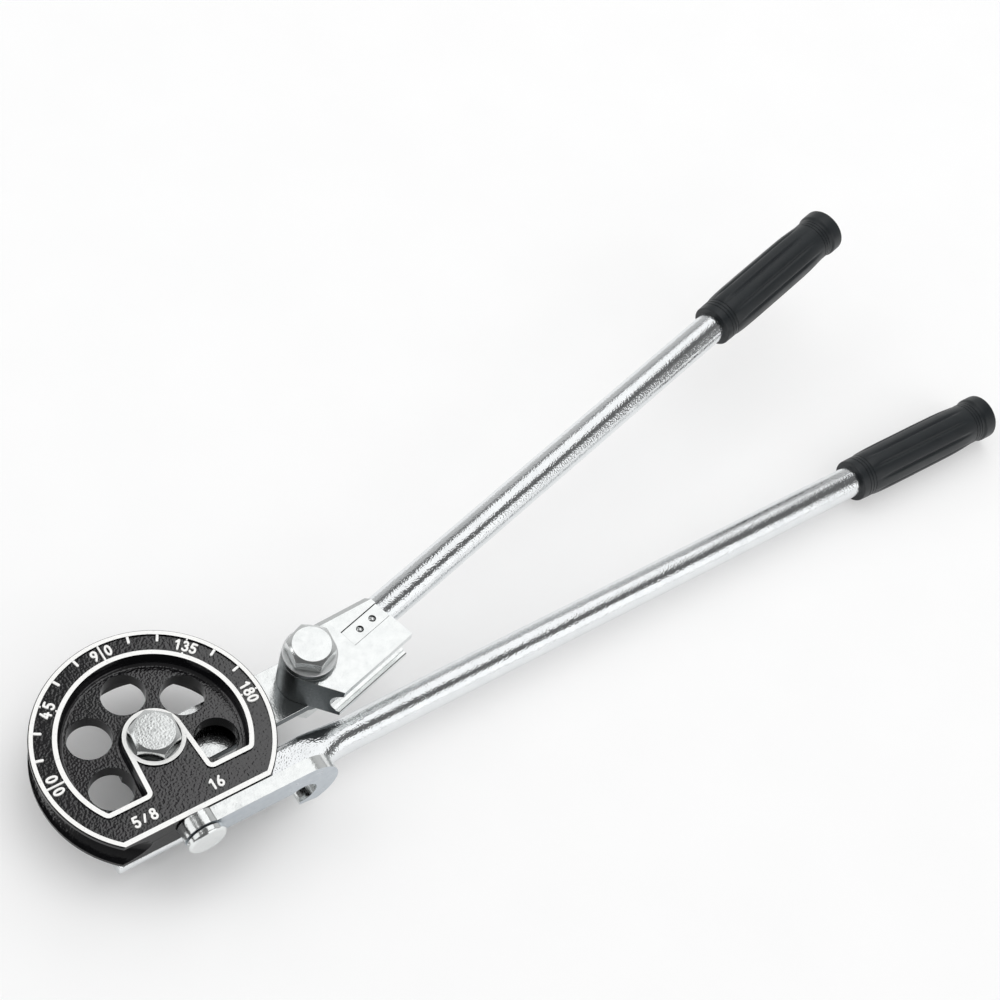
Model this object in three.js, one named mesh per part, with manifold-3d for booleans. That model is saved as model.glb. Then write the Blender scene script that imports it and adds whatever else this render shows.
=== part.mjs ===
import * as THREE from 'three';
import { mergeVertices } from 'three/addons/utils/BufferGeometryUtils.js';
import Module from 'manifold-3d';

const wasm = await Module();
wasm.setup();

// A hand tube bender: a grooved wheel on a fixed handle, a link that swings round the wheel's bolt,
// a grooved slide block with the moving handle at the link's end, and a hooked latch for the tube.
// Millimetres and degrees. The origin is the lower end of the centre bolt, X runs along the fixed
// handle, Z is up.

// The bend
const tubeDiameter = 16;
const tubeFit = 0.15;
const bendRadius = 57.5;
const armLength = 86.5;
const linkAngle = 1.6;
const blockHeading = 15;

// Clearances
const seatGap = 0.3;
const boreClearance = 0.3;
const overrun = 5;
const fineMerge = 0.0001;

// Bolts, nuts and washers
const boltDiameter = 14;
const boltFlats = 22;
const boltHeadHeight = 8.8;
const boltEndProud = 2.7;
const boltEndChamfer = 1.2;
const shoeBoltProud = 1.7;
const nutHeight = 12;
const washerDiameter = 27.6;
const washerThickness = 2.5;
const hexChamferWidth = 1.14;
const hexChamferAngle = 30;
const centreHexAngle = 23.5;
const shoeHexAngle = 21.2;
const nutHexAngle = 12;
const bushDiameter = 18;

// Form wheel
const rimLip = 0.6;
const rimEdge = 0.5;
const wheelThickness = 21.4;
const chordDistance = 43.3;
const ridgeHeight = 1;
const outerRidgeInset = 0.3;
const outerRidgeWidth = 2.2;
const pocketRidgeWidth = 2.3;
const pocketRadius = 45.75;
const pocketLowerEdge = 26.1;
const pocketCorner = 2.5;
const pocketDepth = 8;
const webThickness = 8;
const neckWidth = 31;
const hubDiameter = 30;
const hubSeatDiameter = 27;
const hubSeatDepth = 3.3;
const lightHoleDiameter = 22;
const lightHoleCircle = 60;
const lightHoleCount = 5;
const lightHoleSpacing = 56;

// Swing link
const linkThickness = 5;
const linkWidth = 28.2;

// Handles, both bent from the same tube
const handleDiameter = 18;
const handleWall = 2;
const fixedReach = 540.4;
const fixedOffset = 30.64;
const barThickness = 10;
const barWidth = 21.6;
const barOffset = 32.6;
const barTail = 40;
const viseStart = 33;
const barEnd = 66;
const barTransition = 24;
const barDrop = 0.5;
const boreStart = 14;
const barScrewSpread = 44;
const screwDiameter = 8;
const screwFlats = 13;
const screwHeadHeight = 5.3;
const screwDepth = 12;
const screwChamferWidth = 0.7;
const screwWasherDiameter = 16;
const screwWasherThickness = 1.6;

// Slide block
const blockHeight = 22.9;
const bossDiameter = 28.2;
const mouthDistance = 26.3;
const blockHeel = 2.1;
const blockLength = 47;
const blockTopLength = 46.5;
const blockShoulderLength = 45.1;
const blockTopWidth = 2;
const blockShoulderWidth = 4.6;
const panelStart = 21;
const panelNear = 1.3;
const panelFar = 11.4;
const panelDepth = 0.8;
const stakeDiameter = 3.7;
const stakeDepth = 19;
const stakePlaces = [30, 39];
const stakeOffset = 6.3;

// Moving handle, which leaves the block a little upwards
const handleSlope = 5;
const handleYaw = -1.66;
const socketU = 42.28;
const socketV = -2.94;
const socketRise = 11.4;
const spigotDiameter = 15;
const spigotLength = 20;
const movingReach = 381.1;

// Grips
const gripLength = 106;
const gripFlutes = 10;
const gripFluteDepth = 0.8;
const gripEndThickness = 9;
const gripDiameter = 26.4;

// Tube latch
const latchPinX = -1.5;
const latchPinDrop = 8.2;
const latchPinDiameter = 10;
const latchPinDepth = 12;
const latchPinHeadDiameter = 20;
const latchPinHeadHeight = 3.4;
const latchPinHeadEdge = 1;
const latchGap = 0.7;
const latchThickness = 7.4;
const springWasherThickness = 0.7;
const springWasherDiameter = 16;
const latchEyeDiameter = 20;
const latchBarHeight = 15.4;
const latchNotchFit = 0.3;
const latchNotchX = 54.5;
const latchNotchDrop = 14;
const latchHookX = 56;
const latchHookRadius = 18.5;
const latchHookEnd = -62;
const latchTipX = 55;
const latchTipDrop = 25;

// Facets on round shapes
const wheelFacets = 64;
const boreFacets = 24;
const tubeFacets = 28;
const gripFacets = 50;
const grooveFacets = 8;
const cornerFacets = 4;

// Heights of the stack, from the bolt's lower end up
const rad = THREE.MathUtils.degToRad;
const nutBottom = boltEndProud;
const nutTop = nutBottom + nutHeight;
const washerBottom = nutTop + seatGap;
const washerTop = washerBottom + washerThickness;
const linkBottom = washerTop + seatGap;
const linkTop = linkBottom + linkThickness;
const wheelBottom = linkTop + seatGap;
const wheelTop = wheelBottom + wheelThickness;
const faceHeight = wheelTop - ridgeHeight;
const grooveHeight = wheelBottom + wheelThickness / 2;
const grooveRadius = tubeDiameter / 2 + tubeFit;
const hubSeat = wheelTop - hubSeatDepth;
const blockTop = wheelBottom + blockHeight;
const shoeWasherBottom = blockTop + seatGap;
const shoeHeadBottom = shoeWasherBottom + washerThickness + seatGap;
const barTop = wheelBottom - seatGap;
const barMiddle = barTop - barThickness / 2;
const fixedHeight = barTop - barDrop - handleDiameter / 2;
const gripBoreDepth = gripLength - gripEndThickness;

// Finishes
const zinc = { color: 0xdfe1e3, roughness: 0.32, metalness: 0.9 };
const enamel = { color: 0x1c1c1f, roughness: 0.45, metalness: 0.2 };
const steel = { color: 0xb9bcc0, roughness: 0.35, metalness: 0.9 };
const bronze = { color: 0xb08d57, roughness: 0.4, metalness: 0.9 };
const rubber = { color: 0x15171a, roughness: 0.6, metalness: 0 };

// Solids from three's shapes
function toSolid(geometry) {
  const bare = geometry.clone();
  bare.deleteAttribute('normal');
  bare.deleteAttribute('uv');
  const merged = mergeVertices(bare, fineMerge);
  const corners = merged.index.array;
  const kept = [];
  for (let i = 0; i < corners.length; i += 3) {
    const [a, b, c] = corners.slice(i, i + 3);
    if (a !== b && b !== c && c !== a) kept.push(a, b, c);
  }
  return new wasm.Manifold(new wasm.Mesh({
    numProp: 3,
    vertProperties: Float32Array.from(merged.attributes.position.array),
    triVerts: Uint32Array.from(kept),
  }));
}

function cut(solid, ...tools) {
  return tools.reduce((left, tool) => left.subtract(tool), solid);
}

function piece(name, solid, finish) {
  const result = solid.getMesh();
  const geometry = new THREE.BufferGeometry();
  geometry.setAttribute('position', new THREE.BufferAttribute(result.vertProperties, 3));
  geometry.setIndex(new THREE.BufferAttribute(result.triVerts, 1));
  geometry.computeVertexNormals();
  const mesh = new THREE.Mesh(geometry, new THREE.MeshStandardMaterial(finish));
  mesh.name = name;
  return mesh;
}

// A round bar that stands between two heights
function rod(diameter, bottom, top, facets = boreFacets) {
  const geometry = new THREE.CylinderGeometry(diameter / 2, diameter / 2, top - bottom, facets);
  return geometry.rotateX(Math.PI / 2).translate(0, 0, (bottom + top) / 2);
}

// A flat outline raised between two heights
function prism(shape, bottom, top) {
  const options = { depth: top - bottom, bevelEnabled: false, curveSegments: boreFacets / 2 };
  return new THREE.ExtrudeGeometry(shape, options).translate(0, 0, bottom);
}

// A profile of radius and height, turned round Z
function turned(profile, facets) {
  const points = profile.map(([radius, height]) => new THREE.Vector2(radius, height));
  return new THREE.LatheGeometry(points, facets).rotateX(Math.PI / 2);
}

function alongX(geometry) {
  return geometry.rotateY(Math.PI / 2);
}

function alongMinusY(geometry) {
  return geometry.rotateX(Math.PI / 2);
}

function box(xFrom, xTo, yFrom, yTo, zFrom, zTo) {
  const geometry = new THREE.BoxGeometry(xTo - xFrom, yTo - yFrom, zTo - zFrom);
  return geometry.translate((xFrom + xTo) / 2, (yFrom + yTo) / 2, (zFrom + zTo) / 2);
}

function arcPoints(x, y, radius, from, to, steps) {
  return Array.from({ length: steps + 1 }, (_, i) => {
    const angle = rad(from + ((to - from) * i) / steps);
    return new THREE.Vector2(x + radius * Math.cos(angle), y + radius * Math.sin(angle));
  });
}

// Hexagon heads and nuts, with the corners turned off and one of them pointing at an angle
const hexSides = 6;

function hexagon(flats, bottom, top, angle, chamferWidth, chamferBelow) {
  const cornerRadius = flats / 2 / Math.cos(Math.PI / hexSides);
  const hex = new THREE.CylinderGeometry(cornerRadius, cornerRadius, top - bottom, hexSides);
  hex.rotateX(Math.PI / 2).rotateZ(rad(angle) - Math.PI / hexSides).translate(0, 0, (bottom + top) / 2);
  const faceRadius = flats / 2 - chamferWidth;
  const drop = (cornerRadius - faceRadius + overrun) * Math.tan(rad(hexChamferAngle));
  const lower = chamferBelow
    ? [[0, bottom], [faceRadius, bottom], [cornerRadius + overrun, bottom + drop]]
    : [[0, bottom - overrun], [cornerRadius + overrun, bottom - overrun]];
  const profile = [...lower, [cornerRadius + overrun, top - drop], [faceRadius, top], [0, top]];
  return toSolid(hex).intersect(toSolid(turned(profile, boreFacets)));
}

function bolt(diameter, end, headBottom, head) {
  const radius = diameter / 2;
  const shank = [
    [0, end],
    [radius - boltEndChamfer, end],
    [radius, end + boltEndChamfer],
    [radius, headBottom + head.height / 2],
    [0, headBottom + head.height / 2],
  ];
  const hex = hexagon(head.flats, headBottom, headBottom + head.height, head.angle, head.chamfer, false);
  return hex.add(toSolid(turned(shank, boreFacets)));
}

function washer(outer, inner, bottom, top) {
  return cut(toSolid(rod(outer, bottom, top)), toSolid(rod(inner, bottom - overrun, top + overrun)));
}

function nut(flats, bore, bottom, top, angle) {
  const body = hexagon(flats, bottom, top, angle, hexChamferWidth, true);
  return cut(body, toSolid(rod(bore, bottom - overrun, top + overrun)));
}

const boltBore = boltDiameter + 2 * boreClearance;
const bushBore = bushDiameter + 2 * boreClearance;
const bigHead = { flats: boltFlats, height: boltHeadHeight, chamfer: hexChamferWidth };

// Form wheel: a grooved disc cut off along one side, with a raised rim and a pocket with five holes
const rimRadius = bendRadius + rimLip;
const grooveMouth = Math.sqrt(grooveRadius ** 2 - rimLip ** 2);
const grooveTurn = THREE.MathUtils.radToDeg(Math.atan2(grooveMouth, rimLip));

function wheelDisc() {
  const hollow = arcPoints(
    bendRadius,
    grooveHeight,
    grooveRadius,
    -grooveTurn,
    grooveTurn - 360,
    grooveFacets,
  );
  const profile = [
    [0, wheelBottom],
    [rimRadius - rimEdge, wheelBottom],
    [rimRadius, wheelBottom + rimEdge],
    ...hollow.map((point) => [point.x, point.y]),
    [rimRadius, wheelTop - rimEdge],
    [rimRadius - rimEdge, wheelTop],
    [0, wheelTop],
  ];
  return toSolid(turned(profile, wheelFacets));
}

// The wheel's outline, drawn in by a margin
function rimOutline(margin) {
  const radius = rimRadius - margin;
  const low = -(chordDistance - margin);
  const start = THREE.MathUtils.radToDeg(Math.asin(low / radius));
  return new THREE.Shape(arcPoints(0, 0, radius, start, 180 - start, wheelFacets));
}

// The pocket's outline: most of a disc, less the neck that widens from the hub to the flat side
function pocketOutline(margin, corner = pocketCorner - margin) {
  const radius = pocketRadius - margin;
  const low = -(pocketLowerEdge - margin);
  const neck = neckWidth / 2 + margin;
  const neckAtHub = (hubDiameter - pocketRidgeWidth) / 2 + margin;
  const rimCornerX = Math.sqrt((radius - corner) ** 2 - (low + corner) ** 2);
  const rimCornerTurn = THREE.MathUtils.radToDeg(Math.atan2(low + corner, rimCornerX));
  const right = [
    ...arcPoints(neck + corner, low + corner, corner, 180, 270, cornerFacets),
    ...arcPoints(rimCornerX, low + corner, corner, -90, rimCornerTurn, cornerFacets),
  ];
  const rim = arcPoints(0, 0, radius, rimCornerTurn, 180 - rimCornerTurn, wheelFacets);
  const left = right.map((point) => new THREE.Vector2(-point.x, point.y)).reverse();
  const hub = arcPoints(0, 0, neckAtHub, 180, 0, boreFacets / 2);
  return new THREE.Shape([...right, ...rim.slice(1, -1), ...left, ...hub]);
}

function formWheel() {
  const flatSide = box(
    -rimRadius,
    rimRadius,
    -rimRadius - overrun,
    -chordDistance,
    -overrun,
    wheelTop + overrun,
  );
  const dial = cut(
    toSolid(prism(rimOutline(outerRidgeInset + outerRidgeWidth), faceHeight, wheelTop + overrun)),
    toSolid(prism(pocketOutline(-pocketRidgeWidth / 2), -overrun, wheelTop + overrun)),
    toSolid(rod(hubDiameter, -overrun, wheelTop + overrun)),
  );
  const pocketFloor = wheelTop - pocketDepth;
  const pocket = toSolid(prism(pocketOutline(pocketRidgeWidth / 2), pocketFloor, wheelTop + overrun));
  const underside = pocketOutline(2 * pocketRidgeWidth, pocketCorner);
  const recess = toSolid(prism(underside, -overrun, pocketFloor - webThickness));
  const firstHole = 90 - (lightHoleSpacing * (lightHoleCount - 1)) / 2;
  const holes = Array.from({ length: lightHoleCount }, (_, i) => {
    const angle = rad(firstHole + lightHoleSpacing * i);
    const hole = rod(lightHoleDiameter, -overrun, wheelTop + overrun);
    const reach = lightHoleCircle / 2;
    return toSolid(hole.translate(reach * Math.cos(angle), reach * Math.sin(angle), 0));
  });
  const screwHoles = [-1, 1].map((side) => {
    const hole = rod(screwDiameter + 2 * boreClearance, -overrun, wheelBottom + screwDepth + boreClearance);
    return toSolid(hole.translate((side * barScrewSpread) / 2, -barOffset, 0));
  });
  const pinHole = alongMinusY(rod(
    latchPinDiameter + 2 * boreClearance,
    chordDistance - latchPinDepth - boreClearance,
    chordDistance + overrun,
  )).translate(latchPinX, 0, wheelTop - latchPinDrop);
  return cut(
    wheelDisc(),
    toSolid(flatSide),
    dial,
    pocket,
    recess,
    ...holes,
    toSolid(rod(boltBore, -overrun, wheelTop + overrun)),
    toSolid(rod(hubSeatDiameter, hubSeat, wheelTop + overrun)),
    ...screwHoles,
    toSolid(pinHole),
  );
}

// Fixed handle: one tube, pressed flat under the wheel and round from there to the grip
const quarterCount = 4;

function pressedPoint(share) {
  const half = barThickness / 2;
  const flat = barWidth / 2 - half;
  const quarter = (Math.PI * half) / 2 + flat;
  const quarters = share * quarterCount;
  const along = (quarters - Math.floor(quarters)) * quarter;
  const turn = Math.floor(quarters) % quarterCount;
  const climb = turn % 2 === 0 ? along : quarter - along;
  const bend = Math.min(climb, (Math.PI * half) / 2) / half;
  const y = flat + half * Math.cos(bend) - Math.max(0, climb - (Math.PI * half) / 2);
  const z = half * Math.sin(bend);
  return [turn === 0 || turn === 3 ? y : -y, turn < 2 ? z : -z];
}

function fixedTube() {
  const easeShares = [0, 0.2, 0.4, 0.6, 0.8, 1];
  const easing = easeShares.map((share) => {
    return { x: barEnd + barTransition * share, round: share * share * (3 - 2 * share) };
  });
  const tubeEnd = fixedReach - gripLength + gripBoreDepth - seatGap;
  const stations = [
    { x: -barTail, round: 0 },
    { x: viseStart, round: 0 },
    ...easing,
    { x: tubeEnd, round: 1 },
  ];
  const rows = stations.length - 1;
  const geometry = new THREE.CylinderGeometry(1, 1, rows, tubeFacets, rows);
  const place = geometry.attributes.position;
  for (let i = 0; i < place.count; i += 1) {
    const station = stations[Math.round(place.getY(i) + rows / 2)];
    const reach = Math.hypot(place.getX(i), place.getZ(i));
    const share = (Math.atan2(place.getX(i), place.getZ(i)) / (2 * Math.PI) + 1) % 1;
    const [flatY, flatZ] = pressedPoint(share);
    const roundY = (handleDiameter / 2) * Math.cos(share * 2 * Math.PI);
    const roundZ = (handleDiameter / 2) * Math.sin(share * 2 * Math.PI);
    const y = THREE.MathUtils.lerp(flatY, roundY, station.round) * reach;
    const z = THREE.MathUtils.lerp(flatZ, roundZ, station.round) * reach;
    const middleY = THREE.MathUtils.lerp(-barOffset, -fixedOffset, station.round);
    const middleZ = THREE.MathUtils.lerp(barMiddle, fixedHeight, station.round);
    place.setXYZ(i, station.x, middleY + y, middleZ + z);
  }
  const boreFrom = barEnd + barTransition + boreStart;
  const bore = alongX(rod(handleDiameter - 2 * handleWall, boreFrom, tubeEnd + overrun));
  const screwHoles = [-1, 1].map((side) => {
    const hole = rod(screwDiameter + 2 * boreClearance, -overrun, wheelTop);
    return toSolid(hole.translate((side * barScrewSpread) / 2, -barOffset, 0));
  });
  return cut(toSolid(geometry), toSolid(bore.translate(0, -fixedOffset, fixedHeight)), ...screwHoles);
}

// Grip: a moulded sleeve with flutes along it, a neck and an end flange, closed at its far end
function grip() {
  const half = gripDiameter / 2;
  const profileShares = [
    [0, 0], [0, 0.91], [0.006, 0.93], [0.055, 0.935], [0.063, 0.915], [0.071, 0.94], [0.11, 0.96],
    [0.18, 0.985], [0.28, 1], [0.68, 1], [0.75, 0.985], [0.81, 0.955], [0.84, 0.93], [0.905, 0.925],
    [0.925, 0.965], [0.94, 1], [0.988, 1], [1, 0.965], [1, 0],
  ];
  const fluteFromShare = 0.11;
  const fluteToShare = 0.84;
  const profile = profileShares.map(([length, radius]) => [radius * half, length * gripLength]);
  const geometry = turned(profile, gripFacets);
  const place = geometry.attributes.position;
  for (let i = 0; i < place.count; i += 1) {
    const share = place.getZ(i) / gripLength;
    const radius = Math.hypot(place.getX(i), place.getY(i));
    if (radius > 0 && share > fluteFromShare && share < fluteToShare) {
      const turn = Math.atan2(place.getY(i), place.getX(i));
      const dip = (gripFluteDepth * (1 - Math.cos(turn * gripFlutes))) / 2;
      place.setX(i, (place.getX(i) * (radius - dip)) / radius);
      place.setY(i, (place.getY(i) * (radius - dip)) / radius);
    }
  }
  const bore = rod(handleDiameter + 2 * boreClearance, -overrun, gripBoreDepth);
  return cut(toSolid(alongX(geometry)), toSolid(alongX(bore)));
}

// Swing link: a flat bar with round ends
function swingLink() {
  const half = linkWidth / 2;
  const outline = new THREE.Shape([
    ...arcPoints(0, 0, half, 90, 270, boreFacets / 2),
    ...arcPoints(armLength, 0, half, -90, 90, boreFacets / 2),
  ]);
  return cut(
    toSolid(prism(outline, linkBottom, linkTop)),
    toSolid(rod(bushBore, -overrun, wheelTop)),
    toSolid(rod(boltBore, -overrun, wheelTop).translate(armLength, 0, 0)),
  );
}

// Slide block: a boss round the shoe bolt that widens to a straight grooved mouth
const stackShift = new THREE.Matrix4().makeTranslation(socketU, socketV, wheelBottom + socketRise);
const handleTurn = new THREE.Euler(0, -rad(handleSlope), rad(handleYaw), 'ZYX');
const handlePlace = stackShift.multiply(new THREE.Matrix4().makeRotationFromEuler(handleTurn));

function tangentTurn(x, y, radius, side) {
  const away = Math.atan2(y, x);
  return THREE.MathUtils.radToDeg(away + side * Math.acos(radius / Math.hypot(x, y)));
}

function stakeHole(place, diameter) {
  const bottom = blockTop - panelDepth - stakeDepth;
  return rod(diameter, bottom, blockTop + overrun).translate(place, -stakeOffset, 0);
}

function slideBlock() {
  const boss = bossDiameter / 2;
  const from = tangentTurn(blockShoulderLength, blockShoulderWidth, boss, 1);
  const to = tangentTurn(-blockHeel, -mouthDistance, boss, -1) + 360;
  const outline = new THREE.Shape([
    ...arcPoints(0, 0, boss, from, to, boreFacets / 2),
    new THREE.Vector2(-blockHeel, -mouthDistance),
    new THREE.Vector2(blockLength, -mouthDistance),
    new THREE.Vector2(blockTopLength, blockTopWidth),
    new THREE.Vector2(blockShoulderLength, blockShoulderWidth),
  ]);
  const tubeAxis = -(armLength - bendRadius);
  const groove = alongX(rod(2 * grooveRadius, -blockLength, 2 * blockLength, tubeFacets));
  const panel = box(
    panelStart,
    blockLength + overrun,
    -panelFar,
    -panelNear,
    blockTop - panelDepth,
    blockTop + overrun,
  );
  const socket = alongX(rod(spigotDiameter + 2 * boreClearance, -spigotLength - seatGap, overrun));
  const mouth = alongX(rod(handleDiameter + 2 * boreClearance, 0, blockLength));
  return cut(
    toSolid(prism(outline, wheelBottom, blockTop)),
    toSolid(groove.translate(0, tubeAxis, grooveHeight)),
    toSolid(rod(bushBore, -overrun, blockTop + overrun)),
    toSolid(panel),
    toSolid(socket.applyMatrix4(handlePlace)),
    toSolid(mouth.applyMatrix4(handlePlace)),
    ...stakePlaces.map((place) => toSolid(stakeHole(place, stakeDiameter + 2 * boreClearance))),
  );
}

// Moving handle: the same tube with its end swaged to a solid spigot, staked in the block
function movingTube() {
  const tubeEnd = movingReach - gripLength + gripBoreDepth - seatGap;
  const radius = handleDiameter / 2;
  const profile = [
    [0, -spigotLength],
    [spigotDiameter / 2, -spigotLength],
    [spigotDiameter / 2, seatGap],
    [radius, seatGap],
    [radius, tubeEnd],
    [0, tubeEnd],
  ];
  const bore = rod(handleDiameter - 2 * handleWall, boreStart, tubeEnd + overrun);
  const toHandle = handlePlace.clone().invert();
  const stakeHoles = stakePlaces.map((place) => {
    const hole = stakeHole(place, stakeDiameter + 2 * boreClearance);
    return toSolid(hole.applyMatrix4(toHandle));
  });
  return cut(toSolid(alongX(turned(profile, tubeFacets))), toSolid(alongX(bore)), ...stakeHoles);
}

// Tube latch: a flat bar with an eye at one end and a hook at the other, in the X and Z plane
function latchOutline() {
  const half = latchBarHeight / 2;
  const eye = latchEyeDiameter / 2;
  const eyeTurn = THREE.MathUtils.radToDeg(Math.asin(half / eye));
  const notch = tubeDiameter / 2 + latchNotchFit;
  const notchTurn = 180 - THREE.MathUtils.radToDeg(Math.asin((latchNotchDrop - half) / notch));
  const outline = new THREE.Shape([
    ...arcPoints(0, 0, eye, eyeTurn, 360 - eyeTurn, boreFacets / 2),
    ...arcPoints(latchNotchX, -latchNotchDrop, notch, notchTurn, -90, boreFacets / 2),
    new THREE.Vector2(latchTipX, -latchTipDrop),
    ...arcPoints(latchHookX, half - latchHookRadius, latchHookRadius, latchHookEnd, 90, boreFacets / 2),
  ]);
  return outline;
}

const latchInner = chordDistance + latchGap;
const latchOuter = latchInner + latchThickness;
const pinHeadInner = latchOuter + seatGap + springWasherThickness + seatGap;

function tubeLatch() {
  const blank = alongMinusY(prism(latchOutline(), latchInner, latchOuter));
  const bore = latchPinDiameter + 2 * boreClearance;
  const eye = alongMinusY(rod(bore, latchInner - overrun, latchOuter + overrun));
  return cut(toSolid(blank), toSolid(eye));
}

function latchPin() {
  const profile = [
    [0, chordDistance - latchPinDepth],
    [latchPinDiameter / 2, chordDistance - latchPinDepth],
    [latchPinDiameter / 2, pinHeadInner],
    [latchPinHeadDiameter / 2, pinHeadInner],
    [latchPinHeadDiameter / 2, pinHeadInner + latchPinHeadHeight - latchPinHeadEdge],
    [latchPinHeadDiameter / 2 - latchPinHeadEdge, pinHeadInner + latchPinHeadHeight],
    [0, pinHeadInner + latchPinHeadHeight],
  ];
  return toSolid(alongMinusY(turned(profile, boreFacets)));
}

function springWasher() {
  const bore = latchPinDiameter + 2 * boreClearance;
  const inner = latchOuter + seatGap;
  const outer = inner + springWasherThickness;
  const ring = alongMinusY(rod(springWasherDiameter, inner, outer));
  const hole = alongMinusY(rod(bore, inner - overrun, outer + overrun));
  return cut(toSolid(ring), toSolid(hole));
}

// The former: the wheel, its handle and all that the centre bolt holds still
const former = new THREE.Group();
const centreHead = { ...bigHead, angle: centreHexAngle };
former.add(
  piece('form_wheel', formWheel(), enamel),
  piece('fixed_handle_tube', fixedTube(), zinc),
  piece('centre_bolt', bolt(boltDiameter, 0, hubSeat + seatGap, centreHead), zinc),
  piece('centre_bush', washer(bushDiameter, boltBore, linkBottom, linkTop), bronze),
  piece('centre_washer', washer(washerDiameter, boltBore, washerBottom, washerTop), zinc),
  piece('centre_nut', nut(boltFlats, boltBore, nutBottom, nutTop, nutHexAngle), zinc),
);

const fixedGrip = piece('fixed_grip', grip(), rubber);
fixedGrip.position.set(fixedReach - gripLength, -fixedOffset, fixedHeight);
former.add(fixedGrip);

const screwHead = { flats: screwFlats, height: screwHeadHeight, chamfer: screwChamferWidth, angle: 0 };
const screwWasherTop = barTop - barThickness - seatGap;
const screwHeadTop = screwWasherTop - screwWasherThickness - seatGap;
for (const [name, side] of [['rear', -1], ['front', 1]]) {
  const screw = piece(
    `handle_screw_${name}`,
    bolt(screwDiameter, -wheelBottom - screwDepth, -screwHeadTop, screwHead),
    steel,
  );
  screw.rotation.x = Math.PI;
  screw.position.set((side * barScrewSpread) / 2, -barOffset, 0);
  const screwBore = screwDiameter + 2 * boreClearance;
  const screwWasherBottom = screwWasherTop - screwWasherThickness;
  const ring = piece(
    `handle_washer_${name}`,
    washer(screwWasherDiameter, screwBore, screwWasherBottom, screwWasherTop),
    steel,
  );
  ring.position.set((side * barScrewSpread) / 2, -barOffset, 0);
  former.add(screw, ring);
}

// The latch and its pin
const latchGroup = new THREE.Group();
latchGroup.position.set(latchPinX, 0, wheelTop - latchPinDrop);
latchGroup.add(
  piece('tube_latch', tubeLatch(), zinc),
  piece('latch_pin', latchPin(), zinc),
  piece('latch_spring_washer', springWasher(), steel),
);

// The link, and the shoe bolt that it carries at its end
const linkGroup = new THREE.Group();
linkGroup.rotation.z = rad(linkAngle);
const shoeBoltEnd = nutBottom - shoeBoltProud;
const shoeHead = { ...bigHead, angle: shoeHexAngle };
const shoeWasherTop = shoeWasherBottom + washerThickness;
const shoeStack = new THREE.Group();
shoeStack.position.x = armLength;
shoeStack.add(
  piece('shoe_bolt', bolt(boltDiameter, shoeBoltEnd, shoeHeadBottom, shoeHead), zinc),
  piece('shoe_head_washer', washer(washerDiameter, boltBore, shoeWasherBottom, shoeWasherTop), zinc),
  piece('shoe_bush', washer(bushDiameter, boltBore, wheelBottom, blockTop), bronze),
  piece('shoe_nut_washer', washer(washerDiameter, boltBore, washerBottom, washerTop), zinc),
  piece('shoe_nut', nut(boltFlats, boltBore, nutBottom, nutTop, nutHexAngle), zinc),
);
linkGroup.add(piece('swing_link', swingLink(), zinc), shoeStack);

// The block and the moving handle, which turn on the shoe bush
const shoeGroup = new THREE.Group();
shoeGroup.position.set(armLength * Math.cos(rad(linkAngle)), armLength * Math.sin(rad(linkAngle)), 0);
shoeGroup.rotation.z = rad(blockHeading);
const handleGroup = new THREE.Group();
handleGroup.position.setFromMatrixPosition(handlePlace);
handleGroup.rotation.copy(handleTurn);
const movingGrip = piece('moving_grip', grip(), rubber);
movingGrip.position.x = movingReach - gripLength;
handleGroup.add(piece('moving_handle_tube', movingTube(), zinc), movingGrip);
shoeGroup.add(piece('slide_block', slideBlock(), zinc), handleGroup);
for (const [name, place] of [['inner', stakePlaces[0]], ['outer', stakePlaces[1]]]) {
  const top = blockTop - panelDepth - seatGap;
  const pin = rod(stakeDiameter, top - stakeDepth + 2 * seatGap, top).translate(place, -stakeOffset, 0);
  shoeGroup.add(piece(`block_stake_${name}`, toSolid(pin), steel));
}

const tubeBender = new THREE.Group();
tubeBender.add(former, latchGroup, linkGroup, shoeGroup);

export default tubeBender;
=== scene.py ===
import math

import bmesh
import bpy
from mathutils import Matrix, Vector


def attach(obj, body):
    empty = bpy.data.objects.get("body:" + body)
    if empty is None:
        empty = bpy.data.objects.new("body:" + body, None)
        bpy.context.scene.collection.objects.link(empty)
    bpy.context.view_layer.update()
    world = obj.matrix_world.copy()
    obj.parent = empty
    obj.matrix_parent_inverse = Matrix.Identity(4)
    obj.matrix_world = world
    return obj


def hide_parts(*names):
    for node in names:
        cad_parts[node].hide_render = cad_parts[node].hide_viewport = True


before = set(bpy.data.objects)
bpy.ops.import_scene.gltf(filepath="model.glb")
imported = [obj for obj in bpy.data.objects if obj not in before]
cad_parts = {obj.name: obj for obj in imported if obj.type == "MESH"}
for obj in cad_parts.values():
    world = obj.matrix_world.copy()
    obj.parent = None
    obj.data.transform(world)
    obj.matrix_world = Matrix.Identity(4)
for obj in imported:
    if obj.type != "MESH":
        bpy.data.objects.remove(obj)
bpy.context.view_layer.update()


# Form wheel. One iron casting: a disc with a half-round groove in its edge, cut off straight along one
# side, with a raised rim, a raised dial and a sunk pocket with five holes. Black stoving enamel covers
# it, and the tops of the raised lines are painted white.
MM = 0.001
WHEEL_BOTTOM = 23.1
WHEEL_TOP = 44.5
DIAL_FACE = 43.5
GROOVE_HEIGHT = 33.8
GROOVE_RADIUS = 8.15
BEND_RADIUS = 57.5
RIM_RADIUS = 58.1
RIM_EDGE = 0.5
CHORD = 43.3
RIM_LINE_INSET = 0.3
RIM_LINE_WIDTH = 2.2
POCKET_RADIUS = 45.75
POCKET_LOW = 26.1
POCKET_LINE = 2.3
POCKET_CORNER = 2.4
LEAST_CORNER = 0.3
POCKET_FLOOR = 36.5
POCKET_DRAFT = 0.4
POCKET_FILLET = 2.4
WEB_BOTTOM = 28.5
NECK_AT_HUB = 13.85
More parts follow.
